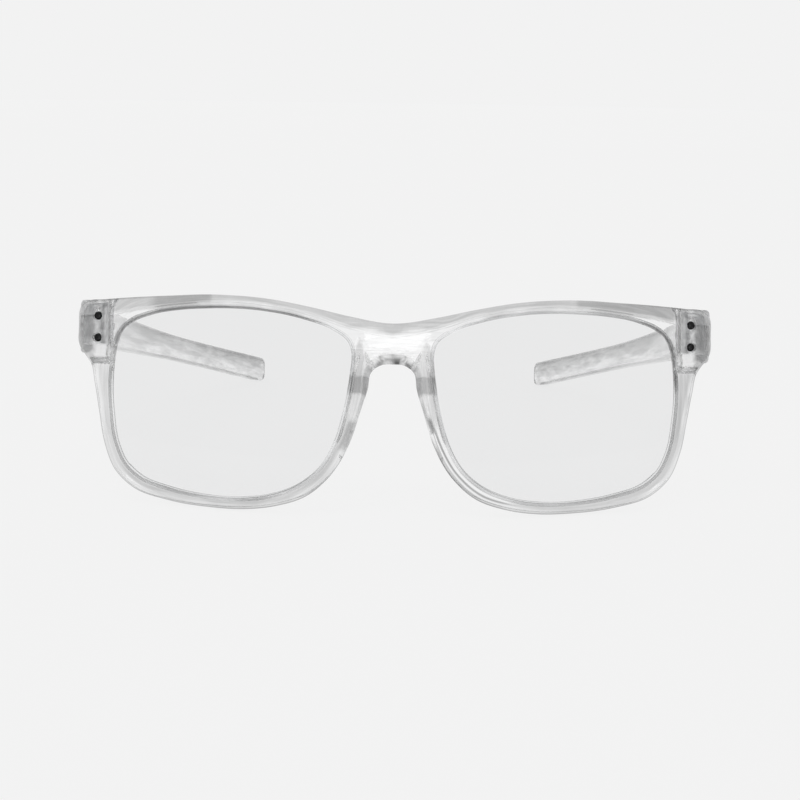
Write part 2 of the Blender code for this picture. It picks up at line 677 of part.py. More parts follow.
def stand_on_ground(pose):
    """Tips the front's frame back and centres the glasses' footprint on the origin."""
    pose.rotation_euler.x = -REST_PITCH
    bpy.context.view_layer.update()
    depths = [(obj.matrix_world @ vertex.co).y for obj in bpy.data.objects
              if obj.type == "MESH" and not obj.hide_render for vertex in obj.data.vertices]
    pose.location = (0.0, -(min(depths) + max(depths)) / 2, GROUND_DROP * MM)


clear_scene()
pose = add_empty("resting_pose", None)
add_front(pose)
for side, hand in ((-1, "right"), (1, "left")):
    pivot = add_empty(f"temple_pivot_{hand}", pose, hinge_axis(side))
    add_lens(pose, side, hand)
    add_temple(pivot, side, hand)
    add_hinge(pose, pivot, side, hand)
    add_rivets(pose, pivot, side, hand)
stand_on_ground(pose)
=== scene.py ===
"""Looks of the clear moulded glasses: front, lenses, temples, hinges, studio and camera.

Shapes are drawn in the front's own frame, in millimetres: X to the wearer's left, Y from the face
of the front towards the ears, Z up. IN_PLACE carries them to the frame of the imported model.
"""

import json
import math

import bmesh
import bpy
import numpy as np
from mathutils import Matrix, Vector


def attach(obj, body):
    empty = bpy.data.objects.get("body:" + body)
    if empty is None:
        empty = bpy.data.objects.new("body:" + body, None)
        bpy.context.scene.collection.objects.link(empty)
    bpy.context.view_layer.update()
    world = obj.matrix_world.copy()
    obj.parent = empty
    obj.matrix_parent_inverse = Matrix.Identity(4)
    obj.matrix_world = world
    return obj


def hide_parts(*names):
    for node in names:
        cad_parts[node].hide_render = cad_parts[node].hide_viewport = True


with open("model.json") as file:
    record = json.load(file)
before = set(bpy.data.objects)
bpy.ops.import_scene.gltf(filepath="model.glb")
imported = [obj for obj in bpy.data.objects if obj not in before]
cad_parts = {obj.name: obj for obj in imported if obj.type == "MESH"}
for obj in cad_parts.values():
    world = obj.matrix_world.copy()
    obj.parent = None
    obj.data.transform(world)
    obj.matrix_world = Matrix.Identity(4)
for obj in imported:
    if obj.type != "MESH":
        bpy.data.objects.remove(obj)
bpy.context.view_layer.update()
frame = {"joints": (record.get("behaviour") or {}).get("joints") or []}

MM = 0.001
SIDES = ((-1, "right"), (1, "left"))

# How the glasses stand
REST_PITCH = math.radians(9.55)     # the front leans back by this much
GROUND_DROP = 27.42                 # from the front's frame origin down to the surface

# The front's curved face
WRAP_RADIUS = 157.0
CROWN_RADIUS, CROWN_HEIGHT = 260.0, -3.0
CORNER_START, CORNER_RADIUS = 68.5, 4.0

# One row for each section of a rim, clockwise from the top of the bridge: opening x, z, outline
# x, z, and the crease of the facet where it isn't RIM_BEVEL inside the outline
RIM_BEVEL = 0.9
RIM_SECTIONS = (
    ((9.9, 11.3), (0.0, 15.6), (0.0, 12.8)),
    ((13.0, 13.7), (9.5, 17.0), (9.7, 14.5)),
    ((20.0, 16.2), (18.5, 19.0), (18.9, 17.4)),
    ((29.0, 17.9), (28.0, 20.7), (28.3, 19.25)),
    ((37.0, 18.4), (36.5, 21.4), (36.8, 19.8)),
    ((42.5, 18.3), (43.0, 21.5), (42.9, 19.6)),
    ((48.5, 17.9), (50.0, 21.2), (49.6, 18.9)),
    ((55.3, 16.7), (58.5, 20.8), (58.2, 17.9)),
    ((59.6, 15.0), (66.8, 20.2), (66.4, 16.4)),
    ((61.2, 13.7), (71.4, 19.7), (70.6, 16.4)),
    ((62.3, 12.1), (73.0, 18.5), (72.2, 16.2)),
    ((63.1, 9.9), (73.3, 14.0), None),
    ((63.5, 7.8), (73.0, 9.7), None),
    ((63.7, 6.0), (71.5, 7.9), None),
    ((63.9, 3.6), (69.6, 5.6), None),
    ((64.0, 0.3), (68.5, 1.0), None),
    ((63.6, -5.4), (67.3, -5.6), None),
    ((62.4, -12.4), (65.9, -12.8), None),
    ((60.3, -16.8), (63.3, -18.8), None),
    ((57.0, -19.7), (58.8, -22.7), None),
    ((50.0, -22.1), (50.8, -25.1), None),
    ((41.0, -23.6), (40.6, -26.35), None),
    ((33.5, -23.8), (33.0, -26.5), None),
    ((27.0, -22.9), (25.9, -25.6), None),
    ((21.0, -20.6), (18.9, -23.2), None),
    ((16.0, -16.5), (13.2, -18.1), None),
    ((12.8, -10.8), (9.4, -11.5), None),
    ((11.1, -5.0), (7.2, -5.0), None),
    ((9.9, 1.0), (5.4, 1.0), (6.4, 1.1)),
    ((9.4, 4.6), (4.6, 4.8), (5.9, 5.8)),
    ((9.15, 6.8), (2.6, 6.25), (2.9, 8.6)),
    ((9.1, 8.6), (0.0, 6.5), (0.0, 9.0)),
)
STATIONS_PER_SPAN, BRIDGE_STATIONS = 8, 11
EDGE_STEPS, FLAT_SPANS = 5, 8       # steps round an edge, spans across a flat
MIDDLE_WIDTH = 1e-6                 # points this near X = 0 lie on the plane of symmetry

RIM_DEPTH, BROW_EXTRA_DEPTH = 4.1, 0.5
FACET_SLOPE = 0.7
EDGE_ROUND, CREASE_ROUND = 0.5, 0.25
PAD_HEIGHT = 2.4                    # how far the nose pads stand out at the back
PAD_SPREAD = 4.8                    # the back is finest this far in from the opening

GROOVE_FRONT, GROOVE_BACK, GROOVE_DEPTH, GROOVE_TAPER = 0.9, 3.0, 0.9, 0.15
LENS_FRONT, LENS_BACK, LENS_REACH, LENS_BEVEL = 1.2, 2.7, 0.6, 0.2
LENS_CENTRE, LENS_RINGS = (36.5, -2.6), 14

# End pieces and hinges, for the wearer's left side
BUTT_Y = 23.5
HINGE_X, HINGE_Y, HINGE_Z = 66.3, 25.0, 13.9
KNUCKLES = 5
KNUCKLE_RADIUS, KNUCKLE_HEIGHT, KNUCKLE_GAP = 1.3, 1.5, 0.15
SCREW_RADIUS, SCREW_CLEARANCE = 0.6, 0.1
SCREW_POINT = 0.15                  # how much the screw narrows at its lower end
SCREW_STICKS_OUT = 0.1              # past the knuckles, at the lower end and under the head
SCREW_HEAD_RADIUS, SCREW_HEAD_HEIGHT, SCREW_HEAD_BEVEL = 1.15, 0.7, 0.08
SCREW_DOME_WIDTH, SCREW_DOME_HEIGHT = 0.35, 0.3
SLOT_WIDTH, SLOT_DEPTH, SLOT_REACH = 0.3, 0.3, 2.0
LEAF_THICKNESS, LEAF_GAP, LEAF_BEVEL = 0.85, 0.25, 0.05
FRONT_LEAF_INSET, TEMPLE_LEAF_INSET = 0.15, 0.1
WEB_OVERLAP = 0.45                  # how far a knuckle's web runs into its plate
TEMPLE_WEB_STRETCH = 1.25           # the temple's plate lies farther from the axis
FRONT_LEAF_X = (65.1, 70.3)
TEMPLE_LEAF_Y = (24.4, 33.4)
RIVET_HEAD_RADIUS, RIVET_SHANK_RADIUS, RIVET_HEAD_HEIGHT = 0.95, 0.5, 0.9
RIVET_DOME, RIVET_RIM, RIVET_SET_BACK = 0.28, 0.14, 0.12
RIVET_GAP, SHANK_TOLERANCE = 0.15, 0.02
FRONT_RIVET_X, FRONT_RIVET_SPACING, FRONT_RIVET_FACE_Y = 67.9, 5.0, 16.5
TEMPLE_RIVET_Y = (27.4, 31.6)
CUT_PAST, DRILL_PAST, BORE_PAST = 3.0, 1.0, 2.0   # how far cutters run past what they cut

# Temples; each row of their shape is distance along, half height and half thickness
TEMPLE_START_Y, TEMPLE_LENGTH = 23.9, 136.0
TEMPLE_ROOT_X, TEMPLE_TIP_X = 70.8, 42.7
TEMPLE_ROOT_SPLAY, TEMPLE_STRAIGHT = 0.05, 30.0
TEMPLE_DROP, TEMPLE_SAG = 0.04, 0.00036
TEMPLE_SHAPE = ((0.0, 6.2, 2.5), (8.0, 5.75, 2.25), (26.0, 4.5, 2.0), (50.0, 3.95, 1.8),
                (78.0, 3.45, 1.65), (105.0, 3.45, 1.65), (136.0, 3.6, 1.7))
TEMPLE_CORNER, TIP_ROUND, TIP_TAPER = 1.2, 2.4, 0.4
CORNER_STEPS = 8

ROUND_SIDES = 48                    # of a turned body

# Painted light and shade on the moulded plastic, given as how much light it lets through, where 1 lets
# all light through and 0 none. Pairs are for the wearer's right and left.
# rims: painted shade overall, painted light towards the brow and low on the right, painted shade down
# the left side, painted highlights along the lip, the outline and the ledge under the crease
RIM_PAINTED_SHADE, RIM_TOP_PAINTED_LIGHT, RIM_LOW_PAINTED_LIGHT, RIM_SIDE_PAINTED_SHADE = 0.71, 0.27, 0.10, 0.05
LIP_PAINTED_LIGHT, OUTLINE_PAINTED_HIGHLIGHT, LEDGE_PAINTED_HIGHLIGHT = 1.03, 0.92, 1.1
# painted shade lines round the tops of the openings
OPENING_PAINTED_SHADE_LINE, OPENING_LINE_LOSS = (0.36, 0.78), 0.48
# beside the nose: a painted highlight on the left flank, and painted shade in a line, in flecks and in a
# patch
FLANK_PAINTED_HIGHLIGHT, FLANK_PAINTED_SHADE_LINE, FLECK_PAINTED_SHADE, NOSE_PATCH_PAINTED_SHADE = 1.05, 0.36, 0.25, 0.52
# painted shade on the brow's facet, deeper from the lens corners outward and in a patch on the wearer's
# right
BROW_PAINTED_SHADE, BROW_OUTER_PAINTED_SHADE, BROW_PATCH_PAINTED_SHADE = 0.70, (0.02, 0.19), 0.20
BROW_SINK = 0.45                    # the brow's band runs lower at the back
# painted shade where the nose pads lie, darker at their foot
PAD_PAINTED_SHADE, PAD_FOOT_PAINTED_SHADE = 0.62, 0.26
PAD_MIDDLE, PAD_HALF_WIDTH = 7.4, 2.1
# painted shade in the arch under the bridge, uneven along its lower edge
ARCH_PAINTED_SHADE = 0.22
ARCH_TOP = ((0.0, 2.9, 5.9), (9.0, 8.6, 5.8))           # distance from the middle, height
ARCH_PLACES = (-5.4, -4.6, -4.3, -3.9, -3.5, -2.1, -1.8, -0.4, 0.0, 0.5, 1.5, 1.8, 2.7, 3.1, 3.8, 4.2,
               4.7, 5.2)
ARCH_PAINTED_SHADE_MOTTLE = (0.15, 0.08, 1.0, 1.0, 0.4, 0.5, 1.0, 1.0, 0.5, 0.04, 0.06, 1.0, 0.9, 0.3, 0.06, 0.9,
               0.05, 0.3)
# end pieces: painted shade on the outer part and painted light on the brow
END_CLEAR, END_PAINTED_SHADE, END_BROW_PAINTED_LIGHT = 1.12, (0.55, 0.38), (1.12, 0.98)
# thin lines of painted shade along the outermost edges and the crease
EDGE_PAINTED_SHADE_LINE, CREASE_PAINTED_SHADE_LINE = 0.28, 0.30
END_FROST = 0.5
# temples: painted shade along the top and the lower edge, painted light below the middle
TEMPLE_PAINTED_TONE, TEMPLE_TOP_PAINTED_SHADE, TEMPLE_LOW_PAINTED_LIGHT, TEMPLE_EDGE_PAINTED_SHADE = 0.92, 0.46, 0.08, 0.22
TEMPLE_ROOT_CLEAR = 1.15
DARKEST_PAINTED_TONE, LIGHTEST_PAINTED_TONE = 0.02, 1.2       # over 1 makes up for what the streaks take away
BRIDGE_MIDDLE = 13.5                # height
FLOW_ALONG, FLOW_DEEP = 0.09, 0.3   # how fast the streaks change, against 1 across the flow
TEMPLE_FLOW_ALONG, TEMPLE_FLOW_DEEP = 0.05, 0.6

WHITE_PLASTIC = (0.996, 0.998, 1.0, 1.0)
FRAME_IOR = 1.49
COATED_IOR = 1.18                   # low, as the lenses' coating stops most reflections

# The camera, in the front's own frame
VIEW_DISTANCE = 392.0
VIEW_TURN, VIEW_HEIGHT, VIEW_ROLL = math.radians(0.5), math.radians(2.0), math.radians(0.965)
VIEW_SHIFT = (-1.748, 1.256)
LENS_LENGTH = 80.1

# The studio, in metres
BACKGROUND = (0.871, 0.871, 0.871)
ROOM_LIGHT = 0.55
FLOOR_GLOW, BACKDROP_GLOW = 0.985, 1.02
FLOOR_LEVEL, FLOOR_REACH, FLOOR_SIDES = -0.0002, 6.0, 96
BACKDROP_REACH, BACKDROP_HEIGHT = 2.4, 2.0
LIGHT_TARGET = (0.0, -0.05, 0.03)
LIGHT_BOUNCES = 64                  # light runs far inside the clear plastic


# ---------------------------------------------------------------- shapes in plain numbers

def ramp(low, high, value):
    """0 below low, 1 above high, smooth between."""
    t = np.clip((np.asarray(value, float) - low) / (high - low), 0.0, 1.0)
    return t * t * (3.0 - 2.0 * t)


def fall(low, high, value):
    """1 below low, 0 above high, smooth between."""
    return 1.0 - ramp(low, high, value)


def smooth_curve(knots, per_span):
    """Points on a smooth curve through the inner knots; the two end knots only steer it."""
    knots = np.asarray(knots, float)
    chord = np.linalg.norm(np.diff(knots, axis=0), axis=1)[:, None]
    slope = np.diff(knots, axis=0) / chord
    tangent = (slope[:-1] * chord[1:] + slope[1:] * chord[:-1]) / (chord[1:] + chord[:-1])
    points = []
    for i in range(1, len(knots) - 2):
        for step in range(per_span):
            t = step / per_span
            start, end = tangent[i - 1] * chord[i], tangent[i] * chord[i]
            points.append((2 * t**3 - 3 * t**2 + 1) * knots[i] + (t**3 - 2 * t**2 + t) * start
                          + (3 * t**2 - 2 * t**3) * knots[i + 1] + (t**3 - t**2) * end)
    points.append(knots[-2])
    return np.array(points)


def outward(points):
    """Unit normals of a clockwise curve, whose end points are given with their neighbours."""
    tangent = points[2:] - points[:-2]
    tangent /= np.linalg.norm(tangent, axis=1)[:, None]
    return np.column_stack((-tangent[:, 1], tangent[:, 0]))


def rounded_corner(before, corner, after, steps):
    """Points of a smooth bend from before to after that would meet in corner."""
    t = np.linspace(0.0, 1.0, steps + 1)[:, None]
    before, corner, after = (np.asarray(p, float) for p in (before, corner, after))
    return list((1 - t)**2 * before + 2 * t * (1 - t) * corner + t**2 * after)


def face_y(x, z):
    """Depth of the front's face behind the middle of the bridge."""
    x = np.abs(x)
    turned = np.maximum(0.0, x - CORNER_START)
    crown = (z - CROWN_HEIGHT)**2 / (2 * CROWN_RADIUS)
    return x**2 / (2 * WRAP_RADIUS) + turned**2 / (2 * CORNER_RADIUS) + crown


def back_depth(x, z):
    """Depth of the front's back surface behind its face, without the nose pads."""
    depth = RIM_DEPTH + BROW_EXTRA_DEPTH * ramp(-6.0, 12.0, z)
    end_piece = ramp(64.3, 65.3, x) * ramp(5.4, 6.8, z)
    return depth + end_piece * (BUTT_Y - face_y(x, z) - depth)


def pad_depth(edge_distance, x, z):
    """Extra depth of the moulded nose pad, at a distance from the edge of the opening."""
    half_width = 1.95 * fall(3.0, 12.5, z)**0.7
    across = fall(half_width - 0.9, half_width + 0.6, np.abs(edge_distance - 2.5))
    along = ramp(-14.0, -8.0, z) * fall(4.0, 12.5, z)
    return PAD_HEIGHT * across * along * fall(13.0, 16.0, x)


def on_ground(points):
    """Presses whatever would go through the resting surface flat onto it."""
    points = np.array(points, float)
    height = points[:, 2] * math.cos(REST_PITCH) - points[:, 1] * math.sin(REST_PITCH) + GROUND_DROP
    low = np.minimum(height, 0.0)
    points[:, 2] -= low * math.cos(REST_PITCH)
    points[:, 1] += low * math.sin(REST_PITCH)
    return points


# ---------------------------------------------------------------- building pieces

def resting_place():
    """From the front's own frame, in millimetres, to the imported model's, in metres."""
    hinge = next(j for j in frame["joints"] if j["name"] == "temple_left_fold")
    tipped = Matrix.Rotation(-REST_PITCH, 4, "X") @ Matrix.Scale(MM, 4)
    offset = Vector(hinge["pos_m"]) - tipped @ Vector((HINGE_X, HINGE_Y, HINGE_Z))
    return Matrix.Translation(offset) @ tipped


IN_PLACE = resting_place()


def add_mesh(name, points, faces):
    """A closed body from points in millimetres in the front's frame, turned the right way out."""
    shell = bmesh.new()
    vertices = [shell.verts.new(IN_PLACE @ Vector(p)) for p in points]
    for face in faces:
        shell.faces.new([vertices[i] for i in face])
    bmesh.ops.remove_doubles(shell, verts=shell.verts, dist=0.000001)
    loose = [v for v in shell.verts if not v.link_faces]
    bmesh.ops.delete(shell, geom=loose, context="VERTS")
    bmesh.ops.recalc_face_normals(shell, faces=shell.faces)
    mesh = bpy.data.meshes.new(name)
    shell.to_mesh(mesh)
    shell.free()
    obj = bpy.data.objects.new(name, mesh)
    bpy.context.scene.collection.objects.link(obj)
    return obj


def join_or_cut(obj, tools, operation):
    """Joins helper bodies to a piece, or cuts them out of it, and takes them away."""
    for tool in tools:
        modifier = obj.modifiers.new(tool.name, "BOOLEAN")
        modifier.operation = operation
        modifier.object = tool
    settle(obj)
    for tool in tools:
        bpy.data.objects.remove(tool, do_unlink=True)


def settle(obj):
    """Applies a piece's modifiers."""
    bpy.context.view_layer.update()
    shaped = obj.evaluated_get(bpy.context.evaluated_depsgraph_get())
    mesh = bpy.data.meshes.new_from_object(shaped)
    obj.modifiers.clear()
    obj.data = mesh


def as_piece(obj, body, node, slot, sharp=35):
    """Gives a piece its body and its slot's finish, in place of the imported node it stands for."""
    obj.data.materials.clear()
    obj.data.materials.append(FINISH[slot])
    obj.data.shade_smooth()
    obj.data.set_sharp_from_angle(angle=math.radians(sharp))
    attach(obj, body)
    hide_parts(node)


def ring_faces(sections, ring, closed=False):
    """Quads between neighbouring sections of ring points each."""
    faces = []
    for i in range(sections if closed else sections - 1):
        here, there = i * ring, (i + 1) % sections * ring
        for j in range(ring):
            k = (j + 1) % ring
            faces.append((here + j, here + k, there + k, there + j))
    return faces


def capped_faces(sections, ring):
    last = (sections - 1) * ring
    return ring_faces(sections, ring) + [tuple(range(ring))] + [tuple(range(last, last + ring))]


def add_prism(name, outline, low, high, place):
    """An outline drawn out from low to high; place turns (a, b, level) into a point."""
    points = [place(a, b, level) for level in (low, high) for a, b in outline]
    return add_mesh(name, points, capped_faces(2, len(outline)))


def add_turned(name, profile, place):
    """A turned body: profile is a list of (radius, level) from one end to the other."""
    turns = [2 * math.pi * k / ROUND_SIDES for k in range(ROUND_SIDES)]
    points = [place(radius * math.cos(turn), radius * math.sin(turn), level)
              for radius, level in profile for turn in turns]
    return add_mesh(name, points, capped_faces(len(profile), ROUND_SIDES))


def box_outline(a_low, a_high, b_low, b_high):
    return [(a_low, b_low), (a_high, b_low), (a_high, b_high), (a_low, b_high)]


def along_y(side, x, z):
    """Places a turned body with its axis along Y."""
    return lambda a, b, level: (side * x + a, level, z + b)


def along_x(side, y, z):
    """Places a turned body with its axis along X; levels run outward from the middle."""
    return lambda a, b, level: (side * level, y + a, z + b)


def along_z(side, x, y):
    return lambda a, b, level: (side * (x + a), y + b, level)


# ---------------------------------------------------------------- front

def rim_curves():
    """Opening, its normals, crease and outline, with one entry for each station."""
    opening, outline, crease = [], [], []
    for hole, edge, fold in RIM_SECTIONS:
        hole, edge = np.array(hole), np.array(edge)
        across = (hole - edge) / np.linalg.norm(hole - edge)
        opening.append(hole)
        outline.append(edge)
        crease.append(edge + across * RIM_BEVEL if fold is None else np.array(fold))
    mirror = np.array((-1.0, 1.0))
    edge, fold = (smooth_curve((curve[1] * mirror, *curve, curve[-2] * mirror), STATIONS_PER_SPAN)
                  for curve in (outline, crease))
    hole = smooth_curve((opening[-1], *opening, opening[0]), STATIONS_PER_SPAN)
    bridge = smooth_curve((opening[-2], opening[-1], opening[0], opening[1]), BRIDGE_STATIONS + 1)
    hole = np.vstack((hole, bridge[1:-1]))
    return hole, outward(np.vstack((hole[-1], hole, hole[0]))), fold, edge


def at(place, depth):
    """A place (x, z) of the front, at a depth behind its face."""
    return np.array((place[0], depth, place[1]))


def face_points(inner, last):
    """Points across the flat of the face, between its two ends."""
    return [at(inner + (last - inner) * step / FLAT_SPANS, 0.0) for step in range(1, FLAT_SPANS)]


def back_points(outer, inner):
    """Points across the back from outer to inner, closer together over the nose pads."""
    reach = np.linalg.norm(outer - inner)
    dense = min(PAD_SPREAD, 0.75 * reach)
    points = []
    for step in range(2 * FLAT_SPANS + 1, 0, -1):
        share = step / (2 * FLAT_SPANS + 2)
        along = np.interp(share, (0.0, 0.75, 1.0), (0.0, dense, reach))
        place = inner + (outer - inner) * along / reach
        points.append(at(place, back_depth(*place) + pad_depth(along + EDGE_ROUND, *place)))
    return points


def inner_wall(hole, normal):
    """The wall of the opening, from its back edge past the lens groove; and its front edge."""
    def inside(out, depth):
        return at(hole + normal * out, depth)

    r, back = EDGE_ROUND, back_depth(*hole)
    wall = rounded_corner(inside(r, back), inside(0, back), inside(0, back - r), EDGE_STEPS)
    wall += [inside(0, GROOVE_BACK), inside(GROOVE_DEPTH, GROOVE_BACK - GROOVE_TAPER)]
    wall += [inside(GROOVE_DEPTH, GROOVE_FRONT + GROOVE_TAPER), inside(0, GROOVE_FRONT)]
    return wall, rounded_corner(inside(0, r), inside(0, 0), inside(r, 0), EDGE_STEPS)


def rim_section(hole, normal, fold, edge):
    """One closed section of a rim: points (x, depth behind the face, z)."""
    r, c = EDGE_ROUND, CREASE_ROUND
    inner = hole + normal * r
    width = np.linalg.norm(fold - edge)
    out = (edge - fold) / width
    on_middle = abs(edge[0]) < MIDDLE_WIDTH
    inward = -out if on_middle else (inner - fold) / np.linalg.norm(inner - fold)
    drop, back = FACET_SLOPE * width, back_depth(*edge)
    wall, section = inner_wall(hole, normal)
    flat_end = fold + inward * c
    section += face_points(inner, flat_end)
    section += rounded_corner(at(flat_end, 0), at(fold, 0), at(fold + out * c, FACET_SLOPE * c),
                              EDGE_STEPS)
    outer = edge - out * r
    section += rounded_corner(at(outer, drop - FACET_SLOPE * r), at(edge, drop),
                              at(edge, drop + r), EDGE_STEPS)
    section += rounded_corner(at(edge, back - r), at(edge, back), at(outer, back_depth(*outer)),
                              EDGE_STEPS)
    section += back_points(outer, inner)
    return section + wall


def bridge_section(hole, normal, face_end, back_end):
    """A section of the bridge, which ends on the plane of symmetry."""
    inner = hole + normal * EDGE_ROUND
    wall, section = inner_wall(hole, normal)
    section += face_points(inner, face_end)
    section += [at(face_end, 0.0)] * (2 * EDGE_STEPS + 2)
    section += [at(back_end, back_depth(*back_end))] * (EDGE_STEPS + 1)
    section += back_points(back_end, inner)
    return section + wall


def front_points():
    """Points of half the front, the number of its sections and the points in each."""
    hole, normal, fold, edge = rim_curves()
    sections = [rim_section(*curves) for curves in zip(hole, normal, fold, edge)]
    face_inset, back_inset = np.array((0.0, CREASE_ROUND)), np.array((0.0, EDGE_ROUND))
    low_face, high_face = fold[-1] + face_inset, fold[0] - face_inset
    low_back, high_back = edge[-1] + back_inset, edge[0] - back_inset
    for i, station in enumerate(range(len(edge), len(hole)), 1):
        share = i / (BRIDGE_STATIONS + 1)
        sections.append(bridge_section(hole[station], normal[station],
                                       low_face + (high_face - low_face) * share,
                                       low_back + (high_back - low_back) * share))
    points = np.array(sections, float)
    ring = points.shape[1]
    points = points.reshape(-1, 3)
    points[:, 1] += face_y(points[:, 0], points[:, 2])
    return on_ground(points), len(sections), ring


def both_halves(points, faces):
    """Adds the mirrored half and leaves out faces that lie in the plane of symmetry."""
    middle = np.abs(points[:, 0]) < MIDDLE_WIDTH
    kept = [face for face in faces if not all(middle[i] for i in face)]
    count = len(points)
    mirrored = points * np.array((-1.0, 1.0, 1.0))
    return np.vstack((points, mirrored)), kept + [tuple(i + count for i in f) for f in kept]


def rivet_hole_profile(head_face, head_floor, end, overshoot):
    """Stepped hole: wide for the head, narrow for the shank."""
    wide, narrow = RIVET_HEAD_RADIUS + RIVET_GAP, RIVET_SHANK_RADIUS + RIVET_GAP
    return [(wide, head_face - overshoot), (wide, head_floor), (narrow, head_floor),
            (narrow, end + overshoot)]


def front_rivet_heights():
    return [HINGE_Z - FRONT_RIVET_SPACING / 2, HINGE_Z + FRONT_RIVET_SPACING / 2]


def add_front():
    points, sections, ring = front_points()
    points, faces = both_halves(points, ring_faces(sections, ring, closed=True))
    front = add_mesh("moulded_front", points, faces)
    leaf_low, leaf_high = hinge_span()
    cutters = []
    room = LEAF_GAP
    for side, hand in SIDES:
        pocket = box_outline(FRONT_LEAF_X[0] - room, FRONT_LEAF_X[1] + room,
                             front_leaf_y()[0] - room, BUTT_Y + CUT_PAST)
        cutters.append(add_prism(f"front_pocket_{hand}", pocket, leaf_low - room, leaf_high + room,
                                 lambda a, b, level, s=side: (s * a, b, level)))
        for number, z in enumerate(front_rivet_heights(), 1):
            floor = FRONT_RIVET_FACE_Y + RIVET_HEAD_HEIGHT + RIVET_GAP
            profile = rivet_hole_profile(FRONT_RIVET_FACE_Y, floor, BUTT_Y, CUT_PAST)
            cutters.append(add_turned(f"front_rivet_hole_{hand}_{number}", profile,
                                      along_y(side, FRONT_RIVET_X, z)))
    join_or_cut(front, cutters, "DIFFERENCE")
    add_marks(front, front_marks)
    as_piece(front, "front", "front_frame", "frame_plastic", sharp=45)


def brow_crease(x):
    """Height of the brow facet's crease at a distance x from the middle."""
    rows = [(fold[0], fold[1]) for _, _, fold in RIM_SECTIONS[:11]]
    return np.interp(np.abs(x), *zip(*rows))


def along_curve(curve, places):
    """Distance of each place from a curve, and how far along the curve its nearest point is."""
    steps = np.linalg.norm(np.diff(curve, axis=0), axis=1)
    run = np.concatenate(([0.0], np.cumsum(steps)))
    gaps = np.linalg.norm(places[:, None, :] - curve[None, :, :], axis=2)
    return gaps.min(axis=1), run[gaps.argmin(axis=1)]


class FrontPlaces:
    """Points of the front, measured in the ways that its marks need."""

    def __init__(self, points):
        self.x, y, self.z = points.T
        self.far = np.abs(self.x)
        self.depth = y - face_y(self.x, self.z)
        hole, _, _, edge = rim_curves()
        flat = np.column_stack((self.far, self.z))
        self.gap, self.run = along_curve(hole, flat)    # from the opening, and round it
        self.margin = along_curve(edge, flat)[0]        # from the outline
        self.over_crease = self.z - brow_crease(self.x)
        self.back = ramp(1.5, 3.0, self.depth)
        self.face = fall(3.0, 6.0, self.depth)
        self.on_left = self.x > 0
        self.in_end = ramp(63.6, 65.0, self.far) * ramp(5.0, 6.5, self.z)

    def by_side(self, pair):
        """The first of a pair on the wearer's right, the second on the left."""
        return np.where(self.x < 0, *pair)


def lay(clear, level, *shares):
    """Brings the painted light and shade to a level wherever every share is 1."""
    mask = 1.0
    for share in shares:
        mask = mask * share
    return clear + mask * (level - clear)


def rim_marks(p):
    """The rims' painted light and shade: lightest at the brow, greyest along the bottom and down the
    left side.
    """
    left = ramp(30.0, 45.0, p.x)
    clear = RIM_PAINTED_SHADE + RIM_TOP_PAINTED_LIGHT * ramp(2.0, 13.0, p.z)
    clear += RIM_LOW_PAINTED_LIGHT * (1 - left) * ramp(-20.0, -10.0, p.z)
    clear -= RIM_SIDE_PAINTED_SHADE * left * ramp(-20.0, -14.0, p.z) * fall(2.0, 10.0, p.z)
    # painted highlights at the lip, along the outline and on the ledge under the crease
    clear = lay(clear, LIP_PAINTED_LIGHT, fall(0.7, 1.0, p.gap), fall(6.0, 12.0, p.z))
    low = fall(2.0, 6.0, p.z)
    clear = lay(clear, OUTLINE_PAINTED_HIGHLIGHT, fall(0.85, 1.3, p.margin), low)
    clear = lay(clear, OUTLINE_PAINTED_HIGHLIGHT, ramp(45.0, 58.0, p.far), low,
                ramp(0.9, 1.2, p.margin), fall(1.3, 1.8, p.margin))
    clear = lay(clear, LEDGE_PAINTED_HIGHLIGHT, ramp(0.6, 0.75, p.gap), fall(-0.3, -0.1, p.over_crease),
                ramp(12.0, 15.0, p.z))
    # a painted shade line round the top of the openings, which reaches lower at the left end
    line = p.by_side(OPENING_PAINTED_SHADE_LINE) - OPENING_LINE_LOSS * ramp(52.0, 58.0, p.x)
    return lay(clear, line, fall(0.3, 0.6, p.gap), ramp(12.0, 20.0, p.far),
               ramp(7.0, 12.0, p.z + 8.0 * ramp(50.0, 60.0, p.x)))


def nose_marks(p, clear):
    """Beside the nose, painted light and shade: a bright flank and dark flecks on the left, a dark patch
    on the right.
    """
    flank = ramp(-30.0, -24.0, p.z) * fall(-9.0, -6.0, p.z) * fall(24.0, 30.0, p.far) * p.on_left
    clear = lay(clear, FLANK_PAINTED_HIGHLIGHT, flank, fall(2.0, 2.6, p.margin))
    clear = lay(clear, FLANK_PAINTED_SHADE_LINE, flank, ramp(1.1, 1.4, p.margin), fall(1.5, 1.8, p.margin))
    near = fall(20.0, 24.0, p.far)
    clear = lay(clear, FLECK_PAINTED_SHADE, p.on_left, near, ramp(-8.6, -8.0, p.z), fall(-5.4, -4.8, p.z),
                ramp(0.3, 0.6, p.margin), fall(1.2, 1.5, p.margin))
    return lay(clear, NOSE_PATCH_PAINTED_SHADE, ~p.on_left, near, ramp(-13.0, -11.5, p.z), fall(-6.5, -5.5, p.z),
               fall(1.6, 2.2, p.margin))


def brow_marks(p, clear):
    """Painted shade on the brow's facet: a light band over the bridge and a darker one from the lens
    corners outward, with a darker patch on the wearer's right.
    """
    sink = BROW_SINK * p.back
    patch = ramp(-56.5, -53.0, p.x) * ~p.on_left
    loss = p.by_side(BROW_OUTER_PAINTED_SHADE) + BROW_PATCH_PAINTED_SHADE * patch
    return lay(clear, BROW_PAINTED_SHADE - loss * ramp(40.2, 41.6, p.far),
               ramp(-0.12, 0.12, p.over_crease + sink), ramp(11.0, 11.6, p.z + sink))


